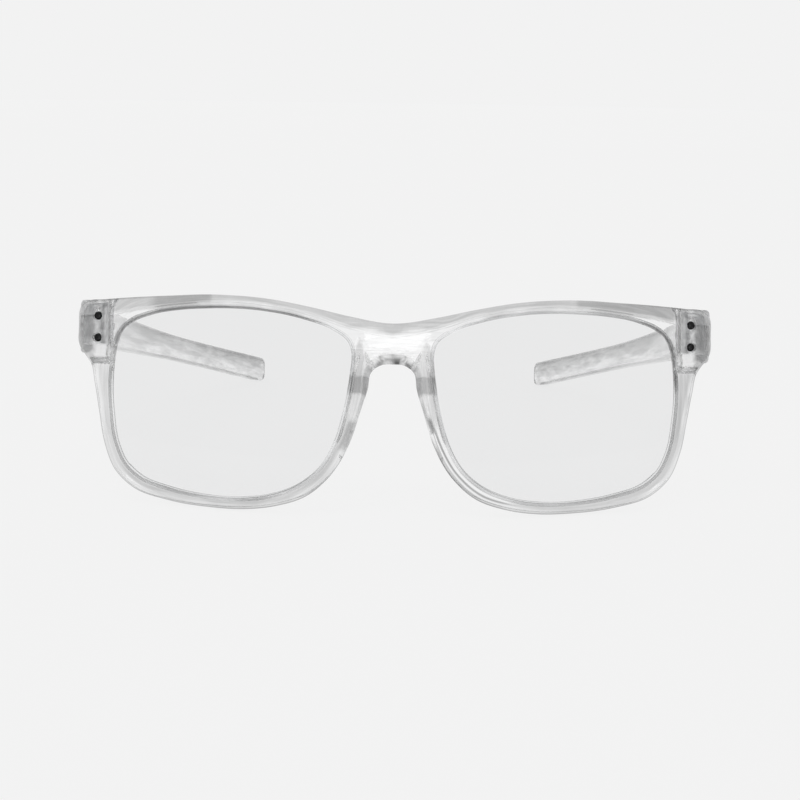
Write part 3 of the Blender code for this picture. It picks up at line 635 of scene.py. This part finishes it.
def pad_marks(p, clear):
    """Painted shade where the moulded nose pads lie, each with a dark foot."""
    reach = PAD_HALF_WIDTH * fall(4.0, 13.0, p.z)**0.7
    pad = fall(-0.5, 0.4, np.abs(p.far - PAD_MIDDLE) - reach) * ramp(3.5, 4.0, p.z) * p.back
    foot = ramp(-0.4, 0.1, p.z) * fall(3.5, 4.0, p.z) * p.back
    foot *= ramp(4.5, 5.4, p.far) * fall(9.2, 10.0, p.far)
    return clear + pad * (PAD_PAINTED_SHADE - clear) + foot * (PAD_FOOT_PAINTED_SHADE - clear)


def arch_marks(p, clear):
    """Painted shade in the arch under the bridge, mottled along its lower edge."""
    mottle = np.interp(p.x, ARCH_PLACES, ARCH_PAINTED_SHADE_MOTTLE)
    level = lay(ARCH_PAINTED_SHADE, mottle, fall(0.5, 1.8, p.margin))
    return lay(clear, level, fall(4.4, 5.4, p.far), ramp(3.0, 5.0, p.z),
               fall(-0.3, 0.0, p.z - np.interp(p.far, *ARCH_TOP)))


def end_marks(p, clear):
    """The end pieces, against the temples: painted shade on their outer part and painted light on their
    brow, and thin lines of painted shade along the outermost edges and the crease.
    """
    low = fall(-0.1, 0.1, p.over_crease)
    clear = lay(clear, END_CLEAR, p.in_end)
    clear = lay(clear, p.by_side(END_PAINTED_SHADE), p.in_end, ramp(68.3, 68.9, p.far), low, p.face)
    clear = lay(clear, p.by_side(END_BROW_PAINTED_LIGHT), p.in_end, 1 - low, p.face)
    outermost = np.maximum(ramp(50.0, 60.0, p.far), fall(-22.0, -18.0, p.z))
    outermost = np.maximum(outermost, p.on_left * fall(-11.0, -8.0, p.z))
    clear = lay(clear, EDGE_PAINTED_SHADE_LINE, outermost, fall(0.15, 0.45, p.margin))
    return lay(clear, CREASE_PAINTED_SHADE_LINE, fall(0.1, 0.35, np.abs(p.over_crease)),
               ramp(68.3, 69.0, p.far), p.face)


def front_marks(points):
    """Painted light and shade of each place of the front, its frosting and the flow of its plastic."""
    p = FrontPlaces(points)
    clear = rim_marks(p)
    for add_more in (nose_marks, brow_marks, pad_marks, arch_marks, end_marks):
        clear = add_more(p, clear)
    frost = np.maximum(ramp(5.2, 8.0, p.depth), END_FROST * p.in_end * p.face)
    bridge = fall(9.0, 17.0, p.far) * ramp(7.0, 10.0, p.z)
    along = lay(np.sign(p.x) * p.run, p.x, bridge)
    across = lay(p.gap, p.z - BRIDGE_MIDDLE, bridge)
    return clear, frost, np.column_stack((along * FLOW_ALONG, across, p.depth * FLOW_DEEP))


def temple_marks(points):
    """Painted light and shade, frosting and flow of each place of a temple."""
    x, y, z = points.T
    s = y - TEMPLE_START_Y
    middle = HINGE_Z - TEMPLE_DROP * s - TEMPLE_SAG * s**2
    places, heights, _ = zip(*TEMPLE_SHAPE)
    rise = (z - middle) / np.interp(s, places, heights)
    # painted shade along the top and the lower edge, painted light below the middle; near the root it is
    # lifted over 1
    clear = TEMPLE_PAINTED_TONE - TEMPLE_TOP_PAINTED_SHADE * ramp(0.5, 0.72, rise) * ramp(12.0, 40.0, s)
    clear += TEMPLE_LOW_PAINTED_LIGHT * fall(-0.5, -0.1, rise) - TEMPLE_EDGE_PAINTED_SHADE * fall(-0.95, -0.8, rise)
    clear = lay(clear, TEMPLE_ROOT_CLEAR, fall(9.0, 14.0, s))
    flow = np.column_stack((s * TEMPLE_FLOW_ALONG, z - middle, x * TEMPLE_FLOW_DEEP))
    return clear, fall(8.0, 16.0, s), flow


def store(obj, name, values):
    """Stores a number or a vector for each point of a mesh, for its finish to read."""
    kind, field = ("FLOAT", "value") if values.ndim == 1 else ("FLOAT_VECTOR", "vector")
    stored = obj.data.attributes.new(name, kind, "POINT")
    stored.data.foreach_set(field, values.astype(np.float32).ravel())


def add_marks(obj, marks):
    """Stores the marks of a finished mesh's points."""
    home = IN_PLACE.inverted()
    clear, frost, flow = marks(np.array([home @ v.co for v in obj.data.vertices]))
    # painted light and shade of each point, kept between its darkest and lightest
    store(obj, "painted_light_and_shade", np.clip(clear, DARKEST_PAINTED_TONE, LIGHTEST_PAINTED_TONE))
    store(obj, "frost", frost)
    store(obj, "flow", flow)


# ---------------------------------------------------------------- lenses

def add_lens(side, hand):
    hole, normal = rim_curves()[:2]
    outline = hole + normal * LENS_REACH
    centre = np.array(LENS_CENTRE)
    rings, bevel = LENS_RINGS, LENS_BEVEL
    layout = [(k / rings, 0.0, LENS_FRONT) for k in range(rings)]
    layout += [(1.0, -bevel, LENS_FRONT), (1.0, 0.0, LENS_FRONT + bevel)]
    layout += [(1.0, 0.0, LENS_BACK - bevel), (1.0, -bevel, LENS_BACK)]
    layout += [(k / rings, 0.0, LENS_BACK) for k in range(rings - 1, -1, -1)]
    points = []
    for share, inset, depth in layout:
        ring = centre + (outline + normal * inset - centre) * share
        for x, z in ring:
            points.append((side * x, face_y(x, z) + depth, z))
    count = len(outline)
    lens = add_mesh(f"plano_lens_{hand}", points, ring_faces(len(layout), count))
    as_piece(lens, "front", f"lens_{hand}", "lens")


# ---------------------------------------------------------------- temples

def temple_middle(s):
    """Centre of the temple's section at a distance s behind its flat front end."""
    bend = (TEMPLE_ROOT_X - TEMPLE_ROOT_SPLAY * TEMPLE_LENGTH - TEMPLE_TIP_X)
    bend /= (TEMPLE_LENGTH - TEMPLE_STRAIGHT)**2
    x = TEMPLE_ROOT_X - TEMPLE_ROOT_SPLAY * s - bend * max(0.0, s - TEMPLE_STRAIGHT)**2
    return x, TEMPLE_START_Y + s, HINGE_Z - TEMPLE_DROP * s - TEMPLE_SAG * s**2


def temple_stations():
    tip = [TEMPLE_LENGTH - TIP_ROUND * (1 - math.sin(math.radians(turn)))
           for turn in range(0, 91, 9)]
    return [0.0, 4.0, 8.0, 26.0, 30.0] + list(np.linspace(33.0, 132.0, 60)) + tip


def temple_section(s):
    """One section of a temple: its four rounded corners, and a taper near the tip."""
    places, heights, widths = zip(*TEMPLE_SHAPE)
    knots = np.array(TEMPLE_SHAPE)
    half_height = np.interp(s, places, heights)
    half_width = np.interp(s, places, widths)
    if s > knots[2][0]:
        guide = np.vstack((knots[1:], knots[-1] + (30.0, 0.0, 0.0)))
        curve = smooth_curve(guide, 12)
        half_height = np.interp(s, curve[:, 0], curve[:, 1])
        half_width = np.interp(s, curve[:, 0], curve[:, 2])
    into_tip = max(0.0, s - (TEMPLE_LENGTH - TIP_ROUND)) / TIP_ROUND
    inset = TIP_ROUND * (1 - math.sqrt(max(0.0, 1 - into_tip**2)))
    half_height -= inset
    half_width -= TIP_TAPER * inset
    corner = min(TEMPLE_CORNER, 0.8 * half_width)
    x, y, z = temple_middle(s)
    section = []
    for across, up in ((1, 1), (1, -1), (-1, -1), (-1, 1)):
        first = (across * half_width, up * (half_height - corner))
        second = (across * (half_width - corner), up * half_height)
        if across * up < 0:
            first, second = second, first
        section += [tuple(p) for p in
                    rounded_corner(second, (across * half_width, up * half_height), first, CORNER_STEPS)]
    ahead, behind = temple_middle(s + 0.5), temple_middle(s - 0.5)
    lean = ahead[0] - behind[0] if s > TEMPLE_STRAIGHT else 0.0
    return [(x + a, y - a * lean, z + b) for a, b in section]


def inner_face_x():
    return TEMPLE_ROOT_X - TEMPLE_SHAPE[0][2]


def outer_face_x(y):
    s = y - TEMPLE_START_Y
    places, _, widths = zip(*TEMPLE_SHAPE)
    return temple_middle(s)[0] + float(np.interp(s, places, widths))


def add_temple(side, hand):
    sections = [temple_section(s) for s in temple_stations()]
    points = on_ground([p for section in sections for p in section])
    points[:, 0] *= side
    temple = add_mesh(f"moulded_temple_{hand}", points,
                      capped_faces(len(sections), len(sections[0])))
    leaf_low, leaf_high = hinge_span()
    room = LEAF_GAP
    face = inner_face_x()
    pocket = box_outline(face - CUT_PAST, face + TEMPLE_LEAF_INSET + LEAF_THICKNESS + room,
                         TEMPLE_START_Y - CUT_PAST, TEMPLE_LEAF_Y[1] + room)
    cutters = [add_prism(f"temple_pocket_{hand}", pocket, leaf_low - room, leaf_high + room,
                         lambda a, b, level: (side * a, b, level))]
    for number, y in enumerate(TEMPLE_RIVET_Y, 1):
        outer = outer_face_x(y)
        floor = outer - RIVET_HEAD_HEIGHT - RIVET_GAP
        profile = rivet_hole_profile(-outer, -floor, -face, CUT_PAST)
        cutters.append(add_turned(f"temple_rivet_hole_{hand}_{number}", profile,
                                  along_x(-side, y, HINGE_Z)))
    join_or_cut(temple, cutters, "DIFFERENCE")
    add_marks(temple, temple_marks)
    as_piece(temple, f"temple_{hand}_arm", f"temple_{hand}", "temple_plastic")


# ---------------------------------------------------------------- hinges

def hinge_span():
    """Bottom and top of the row of knuckles."""
    half = (KNUCKLES * KNUCKLE_HEIGHT + (KNUCKLES - 1) * KNUCKLE_GAP) / 2
    return HINGE_Z - half, HINGE_Z + half


def knuckle_levels(first):
    """Bottom and top of every second knuckle, counted from first."""
    low = hinge_span()[0]
    pitch = KNUCKLE_HEIGHT + KNUCKLE_GAP
    return [(low + k * pitch, low + k * pitch + KNUCKLE_HEIGHT) for k in range(first, KNUCKLES, 2)]


def knuckle_outline(reach):
    """A round knuckle with a web of its own width that runs reach away from the axis, along -b."""
    steps = ROUND_SIDES // 2
    turns = [math.pi * k / steps for k in range(steps + 1)]
    arc = [(KNUCKLE_RADIUS * math.cos(t), KNUCKLE_RADIUS * math.sin(t)) for t in turns]
    return arc + [(-KNUCKLE_RADIUS, -reach), (KNUCKLE_RADIUS, -reach)]


def add_leaf(name, plate, knuckles, turn, side, rivet_holes):
    """A hinge plate with its knuckles joined on, and holes for the screw and the rivets."""
    low, high = hinge_span()
    place = along_z(side, 0.0, 0.0)
    leaf = add_prism(name, plate, low, high, place)
    outline = [turn(a, b) for a, b in knuckle_outline(HINGE_Y - BUTT_Y + WEB_OVERLAP)]
    barrels = [add_prism(f"{name}_knuckle_{number}", outline, bottom, top, place)
               for number, (bottom, top) in enumerate(knuckles, 1)]
    join_or_cut(leaf, barrels, "UNION")
    hole = SCREW_RADIUS + SCREW_CLEARANCE
    drills = [add_turned(f"{name}_bore", [(hole, low - BORE_PAST), (hole, high + BORE_PAST)],
                         along_z(side, HINGE_X, HINGE_Y))]
    radius = RIVET_SHANK_RADIUS + SCREW_CLEARANCE
    for number, (ends, where) in enumerate(rivet_holes, 1):
        profile = [(radius, end) for end in ends]
        drills.append(add_turned(f"{name}_drill_{number}", profile, where))
    join_or_cut(leaf, drills, "DIFFERENCE")
    bevel = leaf.modifiers.new("worn_edges", "BEVEL")
    bevel.width, bevel.segments, bevel.limit_method = LEAF_BEVEL * MM, 2, "ANGLE"
    bevel.angle_limit = math.radians(50)
    settle(leaf)
    return leaf


def front_leaf_y():
    back = BUTT_Y - FRONT_LEAF_INSET
    return back - LEAF_THICKNESS, back


def add_hinge_leaves(side, hand):
    low, high = front_leaf_y()
    plate = box_outline(*FRONT_LEAF_X, low, high)
    drills = [((low - DRILL_PAST, high + DRILL_PAST), along_y(side, FRONT_RIVET_X, z))
              for z in front_rivet_heights()]
    leaf = add_leaf(f"front_leaf_{hand}", plate, knuckle_levels(1),
                    lambda a, b: (HINGE_X + a, HINGE_Y + b), side, drills)
    as_piece(leaf, "front", f"front_hinge_leaf_{hand}", "hinge_plastic")

    low = inner_face_x() + TEMPLE_LEAF_INSET
    high = low + LEAF_THICKNESS
    drills = [((low - DRILL_PAST, high + DRILL_PAST), along_x(side, y, HINGE_Z))
              for y in TEMPLE_RIVET_Y]
    leaf = add_leaf(f"temple_leaf_{hand}", box_outline(low, high, *TEMPLE_LEAF_Y),
                    knuckle_levels(0),
                    lambda a, b: (HINGE_X - b * TEMPLE_WEB_STRETCH, HINGE_Y + a), side, drills)
    as_piece(leaf, f"temple_{hand}_arm", f"temple_hinge_leaf_{hand}", "hinge_plastic")


def add_screw(side, hand):
    """A hinge screw with a narrowed point and a slotted, domed head."""
    bottom, top = hinge_span()
    seat, radius = top + SCREW_STICKS_OUT, SCREW_HEAD_RADIUS
    crown = seat + SCREW_HEAD_HEIGHT
    profile = [(SCREW_RADIUS - SCREW_POINT, bottom - SCREW_STICKS_OUT),
               (SCREW_RADIUS, bottom + SCREW_STICKS_OUT), (SCREW_RADIUS, seat),
               (radius - SCREW_HEAD_BEVEL, seat), (radius, seat + SCREW_HEAD_BEVEL)]
    for turn in range(0, 91, 15):
        across, up = math.cos(math.radians(turn)), math.sin(math.radians(turn))
        profile.append((radius - SCREW_DOME_WIDTH * (1 - across),
                        crown - SCREW_DOME_HEIGHT * (1 - up)))
    screw = add_turned(f"pivot_screw_{hand}", profile, along_z(side, HINGE_X, HINGE_Y))
    slot = box_outline(HINGE_X - SLOT_REACH, HINGE_X + SLOT_REACH,
                       HINGE_Y - SLOT_WIDTH / 2, HINGE_Y + SLOT_WIDTH / 2)
    cutter = add_prism(f"screw_slot_{hand}", slot, crown - SLOT_DEPTH, seat + CUT_PAST,
                       along_z(side, 0, 0))
    join_or_cut(screw, [cutter], "DIFFERENCE")
    as_piece(screw, "front", f"hinge_screw_{hand}", "hinge_steel")


def rivet_profile(head_face, end, direction):
    """A domed head, then the shank to its far end; direction is the way the shank runs."""
    head, shank = RIVET_HEAD_RADIUS, RIVET_SHANK_RADIUS
    floor = head_face + direction * RIVET_HEAD_HEIGHT
    profile = []
    for turn in range(4, 91, 8):
        radius, rise = math.sin(math.radians(turn)), math.cos(math.radians(turn))
        level = RIVET_SET_BACK - RIVET_DOME * rise
        profile.append((head * radius, head_face + direction * level))
    profile.append((head, head_face + direction * RIVET_RIM))
    return profile + [(head, floor), (shank, floor), (shank, end)]


def mark_bare(rivet, radius):
    """Stores 1 on the points of a rivet's bare shank and 0 on its head."""
    home = IN_PLACE.inverted()
    reach = np.array([radius(home @ v.co) for v in rivet.data.vertices])
    store(rivet, "bare", np.abs(reach - RIVET_SHANK_RADIUS) < SHANK_TOLERANCE)


def add_rivets(side, hand):
    end = front_leaf_y()[1]
    for number, z in enumerate(front_rivet_heights(), 1):
        rivet = add_turned(f"front_pin_{hand}_{number}", rivet_profile(FRONT_RIVET_FACE_Y, end, 1),
                           along_y(side, FRONT_RIVET_X, z))
        mark_bare(rivet, lambda p: math.hypot(abs(p[0]) - FRONT_RIVET_X, p[2] - z))
        as_piece(rivet, "front", f"front_rivet_{hand}_{number}", "rivet_metal")
    for number, y in enumerate(TEMPLE_RIVET_Y, 1):
        profile = rivet_profile(outer_face_x(y), inner_face_x() + TEMPLE_LEAF_INSET, -1)
        rivet = add_turned(f"temple_pin_{hand}_{number}", profile, along_x(side, y, HINGE_Z))
        mark_bare(rivet, lambda p: math.hypot(p[1] - y, p[2] - HINGE_Z))
        as_piece(rivet, f"temple_{hand}_arm", f"temple_rivet_{hand}_{number}", "rivet_metal")


# ---------------------------------------------------------------- finishes

class Amount:
    """A value in a finish. Sums and products of it add the nodes that work them out."""

    def __init__(self, finish, socket):
        self.finish, self.socket = finish, socket

    def _maths(self, operation, first, second):
        return self.finish.node("ShaderNodeMath", {"operation": operation}, {0: first, 1: second})

    def __add__(self, other):
        return self._maths("ADD", self, other)

    def __mul__(self, other):
        return self._maths("MULTIPLY", self, other)

    __radd__ = __add__
    __rmul__ = __mul__


class Finish:
    """A finish under construction: the material and its one shader."""

    def __init__(self, name):
        self.material = bpy.data.materials.new(name)
        self.material.use_nodes = True
        self.tree = self.material.node_tree
        self.shader = self.tree.nodes["Principled BSDF"]

    def node(self, kind, settings, sockets, output=0):
        """Adds a node of a kind, sets it up, fills its sockets and returns one of its outputs."""
        made = self.tree.nodes.new(kind)
        for key, value in settings.items():
            setattr(made, key, value)
        for key, value in sockets.items():
            self.feed(made.inputs[key], value)
        return Amount(self, made.outputs[output])

    def feed(self, socket, value):
        if isinstance(value, Amount):
            self.tree.links.new(value.socket, socket)
        else:
            socket.default_value = value

    def place(self):
        """Where a point is on the unmoved piece, in metres."""
        return self.node("ShaderNodeTexCoord", {}, {}, output="Object")

    def grain(self, size, detail=3.0, stretch=(1.0, 1.0, 1.0)):
        """Cloudy noise from 0 to 1 with lumps of about that size in millimetres."""
        scaled = self.node("ShaderNodeMapping", {}, {"Vector": self.place(), "Scale": stretch})
        return self.node("ShaderNodeTexNoise", {}, {"Vector": scaled, "Scale": 1.0 / (size * MM),
                                                    "Detail": detail})

    def mark(self, name, output="Fac"):
        """A mark stored on the piece's points."""
        return self.node("ShaderNodeAttribute", {"attribute_name": name}, {}, output)

    def streaks(self, width):
        """Noise from 0 to 1 drawn out along the flow of the plastic."""
        return self.node("ShaderNodeTexNoise", {}, {"Vector": self.mark("flow", "Vector"),
                                                    "Scale": 1.0 / width, "Detail": 4.0})

    def band(self, value, low, high):
        """0 below low and 1 above high."""
        return self.node("ShaderNodeMapRange", {"interpolation_type": "SMOOTHSTEP"},
                         {"Value": value, "From Min": low, "From Max": high})

    def blend(self, factor, first, second):
        """A colour between two, by a factor from 0 to 1."""
        return self.node("ShaderNodeMix", {"data_type": "RGBA"}, {0: factor, 6: first, 7: second}, 2)

    def bump(self, height, depth):
        """A normal from a height of 0 to 1, with its full depth in millimetres."""
        return self.node("ShaderNodeBump", {}, {"Height": height, "Distance": depth * MM,
                                                "Strength": 1.0})

    def finished(self, **sockets):
        """Fills the shader's own sockets and gives the finished material."""
        for key, value in sockets.items():
            self.feed(self.shader.inputs[key.replace("_", " ")], value)
        return self.material


def clear_plastic():
    """Polished clear moulding with painted light and shade: flow marks along the rims, a few rubbed
    patches.
    """
    f = Finish("clear_front_plastic")
    flow = f.band(f.streaks(0.9), 0.3, 0.7)
    rubbed = f.band(f.grain(5.0, detail=6.0), 0.55, 0.8)
    ripple = f.grain(2.4, detail=2.0)
    # the painted light and shade stored on the points, broken up by the flow marks
    shade = f.mark("painted_light_and_shade") * (0.82 + 0.29 * flow)
    tint = f.blend(shade, (0.0, 0.0, 0.0, 1.0), WHITE_PLASTIC)
    return f.finished(Base_Color=tint, Roughness=0.015 + rubbed * 0.05 + f.mark("frost") * 0.35,
                      IOR=FRAME_IOR, Transmission_Weight=1.0, Normal=f.bump(ripple, 0.012))


def temple_plastic():
    """The temples' plastic, duller and greyer, with streaks of painted shade along its length for the
    light bent inside it, and rubbed along its length.
    """
    f = Finish("clear_temple_plastic")
    flow = f.band(f.streaks(1.3), 0.35, 0.65)
    rubbed = f.band(f.grain(3.0, detail=6.0, stretch=(1.0, 0.3, 1.0)), 0.45, 0.75)
    ripple = f.grain(3.0, detail=2.0, stretch=(1.0, 0.5, 1.0))
    # the painted light and shade stored on the points, with streaks of painted shade along the flow
    shade = f.mark("painted_light_and_shade") * (0.74 + 0.38 * flow)
    tint = f.blend(shade, (0.0, 0.0, 0.0, 1.0), WHITE_PLASTIC)
    return f.finished(Base_Color=tint, Roughness=0.10 + rubbed * 0.05 + f.mark("frost") * 0.3,
                      IOR=FRAME_IOR, Transmission_Weight=1.0, Normal=f.bump(ripple, 0.04))


def hinge_plastic():
    """Clear moulded hinge leaves, a little worn at the knuckles."""
    f = Finish("clear_hinge_plastic")
    flow = f.grain(1.6, detail=4.0)
    tint = f.blend(flow, (0.982, 0.985, 0.988, 1.0), (0.998, 0.999, 1.0, 1.0))
    return f.finished(Base_Color=tint, Roughness=0.25 + flow * 0.1, IOR=FRAME_IOR,
                      Transmission_Weight=1.0, Normal=f.bump(flow, 0.01))


def lens_plastic():
    """Plano lens: coated against reflections, polished and faintly grey."""
    f = Finish("coated_lens")
    wiped = f.grain(9.0, detail=5.0, stretch=(1.0, 1.0, 0.4))
    tint = f.blend(wiped, (0.912, 0.914, 0.916, 1.0), (0.922, 0.924, 0.926, 1.0))
    return f.finished(Base_Color=tint, Roughness=0.003 + wiped * 0.004, IOR=COATED_IOR,
                      Transmission_Weight=1.0)


def black_metal():
    """Rivets with blackened heads, worn brighter in spots, and bare shanks."""
    f = Finish("black_rivet")
    worn = f.band(f.grain(0.5, detail=5.0), 0.58, 0.75)
    black = f.blend(worn, (0.012, 0.012, 0.013, 1.0), (0.05, 0.05, 0.052, 1.0))
    tint = f.blend(f.mark("bare"), black, (0.86, 0.86, 0.87, 1.0))
    return f.finished(Base_Color=tint, Roughness=0.22 + worn * 0.2, Metallic=0.6,
                      Normal=f.bump(f.grain(0.15), 0.004))


def hinge_steel():
    """Nickel-coloured hinge parts with a fine brushed grain."""
    f = Finish("hinge_steel_finish")
    brushed = f.grain(0.5, detail=4.0, stretch=(0.08, 1.0, 1.0))
    stained = f.band(f.grain(1.2, detail=5.0), 0.5, 0.8)
    tint = f.blend(stained, (0.86, 0.86, 0.86, 1.0), (0.70, 0.69, 0.68, 1.0))
    return f.finished(Base_Color=tint, Roughness=0.24 + brushed * 0.22, Metallic=1.0,
                      Normal=f.bump(brushed, 0.003))


# ---------------------------------------------------------------- studio and camera

def studio_surface(name, shade, glow):
    """Pale studio surface: mostly lit from within, so that shadows on it stay faint."""
    f = Finish(name)
    mottled = f.grain(220.0)
    tint = f.blend(mottled, (*[shade] * 3, 1.0), (*[shade * 0.9] * 3, 1.0))
    return f.finished(Base_Color=tint, Roughness=0.8, Specular_IOR_Level=0.0,
                      Emission_Color=(*BACKGROUND, 1.0), Emission_Strength=glow)


def add_stage(name, points, faces, surface, camera_only=False):
    mesh = bpy.data.meshes.new(name)
    mesh.from_pydata(points, [], faces)
    mesh.materials.append(surface)
    mesh.shade_smooth()
    stage = bpy.data.objects.new(name, mesh)
    bpy.context.scene.collection.objects.link(stage)
    stage.visible_shadow = False
    stage.visible_diffuse = stage.visible_glossy = stage.visible_transmission = not camera_only
    return stage


def add_floor():
    """A round pale floor, a curved backdrop behind it and a pale dome all round."""
    turns = [2 * math.pi * k / FLOOR_SIDES for k in range(FLOOR_SIDES)]
    rim = [(FLOOR_REACH * math.cos(t), FLOOR_REACH * math.sin(t), FLOOR_LEVEL) for t in turns]
    add_stage("studio_floor", rim, [tuple(range(FLOOR_SIDES))],
              studio_surface("floor_paint", 0.05, FLOOR_GLOW))
    arc = [math.radians(t) for t in range(50, 131, 5)]
    wall = [(BACKDROP_REACH * math.cos(t), BACKDROP_REACH * math.sin(t), z)
            for z in (FLOOR_LEVEL, BACKDROP_HEIGHT) for t in arc]
    count = len(arc)
    quads = [(k, k + 1, k + 1 + count, k + count) for k in range(count - 1)]
    add_stage("studio_backdrop", wall, quads, studio_surface("backdrop_paint", 0.0, BACKDROP_GLOW))
    heights = [math.radians(t) for t in range(0, 91, 10)]
    dome = [(FLOOR_REACH * math.cos(t) * math.cos(h), FLOOR_REACH * math.sin(t) * math.cos(h),
             FLOOR_LEVEL + FLOOR_REACH * math.sin(h)) for h in heights for t in turns]
    add_stage("studio_dome", dome, ring_faces(len(heights), FLOOR_SIDES),
              studio_surface("dome_paint", 0.0, BACKDROP_GLOW), camera_only=True)


def add_light(name, azimuth, elevation, distance, size, radiance):
    """A soft panel aimed at the glasses: azimuth 0 is the camera's side, 90 the wearer's left."""
    turn, rise = math.radians(azimuth), math.radians(elevation)
    away = Vector((math.sin(turn) * math.cos(rise), -math.cos(turn) * math.cos(rise),
                   math.sin(rise)))
    lamp = bpy.data.lights.new(name, "AREA")
    lamp.shape, lamp.size, lamp.size_y = "RECTANGLE", size[0], size[1]
    lamp.energy = radiance * math.pi * size[0] * size[1]
    light = bpy.data.objects.new(name, lamp)
    bpy.context.scene.collection.objects.link(light)
    light.location = Vector(LIGHT_TARGET) + away * distance
    light.rotation_euler = (-away).to_track_quat("-Z", "Y").to_euler()
    light.visible_camera = False


def add_studio():
    world = bpy.data.worlds.new("studio")
    bpy.context.scene.world = world
    world.use_nodes = True
    light = world.node_tree.nodes["Background"].inputs
    light["Color"].default_value = (1.0, 1.0, 1.0, 1.0)
    light["Strength"].default_value = ROOM_LIGHT
    add_floor()
    add_light("front_panel", azimuth=0, elevation=9, distance=1.6, size=(0.36, 0.5), radiance=1.9)
    add_light("top_panel", azimuth=-15, elevation=62, distance=1.2, size=(0.9, 0.4), radiance=2.0)
    bpy.context.scene.view_settings.view_transform = "Standard"
    paths = bpy.context.scene.cycles
    paths.max_bounces = paths.transmission_bounces = paths.glossy_bounces = LIGHT_BOUNCES


def add_camera():
    """Sees the front from a little above its own normal, as it stands tipped back."""
    turned = (Matrix.Rotation(VIEW_TURN, 4, "Z") @ Matrix.Rotation(-VIEW_HEIGHT, 4, "X")
              @ Matrix.Rotation(-VIEW_ROLL, 4, "Y"))
    away = Matrix.Translation((-VIEW_SHIFT[0], -VIEW_DISTANCE, -VIEW_SHIFT[1]))
    placed = IN_PLACE @ turned @ away @ Matrix.Rotation(math.pi / 2, 4, "X")
    camera = bpy.data.cameras.new("camera")
    camera.lens, camera.sensor_width = LENS_LENGTH, 36.0
    camera.clip_start, camera.clip_end = 0.01, 50.0
    view = bpy.data.objects.new("camera", camera)
    bpy.context.scene.collection.objects.link(view)
    view.location = placed.translation
    view.rotation_mode = "QUATERNION"
    view.rotation_quaternion = placed.to_3x3().normalized().to_quaternion()
    bpy.context.scene.camera = view


FINISH = {"frame_plastic": clear_plastic(), "temple_plastic": temple_plastic(),
          "lens": lens_plastic(), "hinge_plastic": hinge_plastic(), "rivet_metal": black_metal(),
          "hinge_steel": hinge_steel()}
add_front()
for side, hand in SIDES:
    add_lens(side, hand)
    add_temple(side, hand)
    add_hinge_leaves(side, hand)
    add_screw(side, hand)
    add_rivets(side, hand)
add_studio()
add_camera()
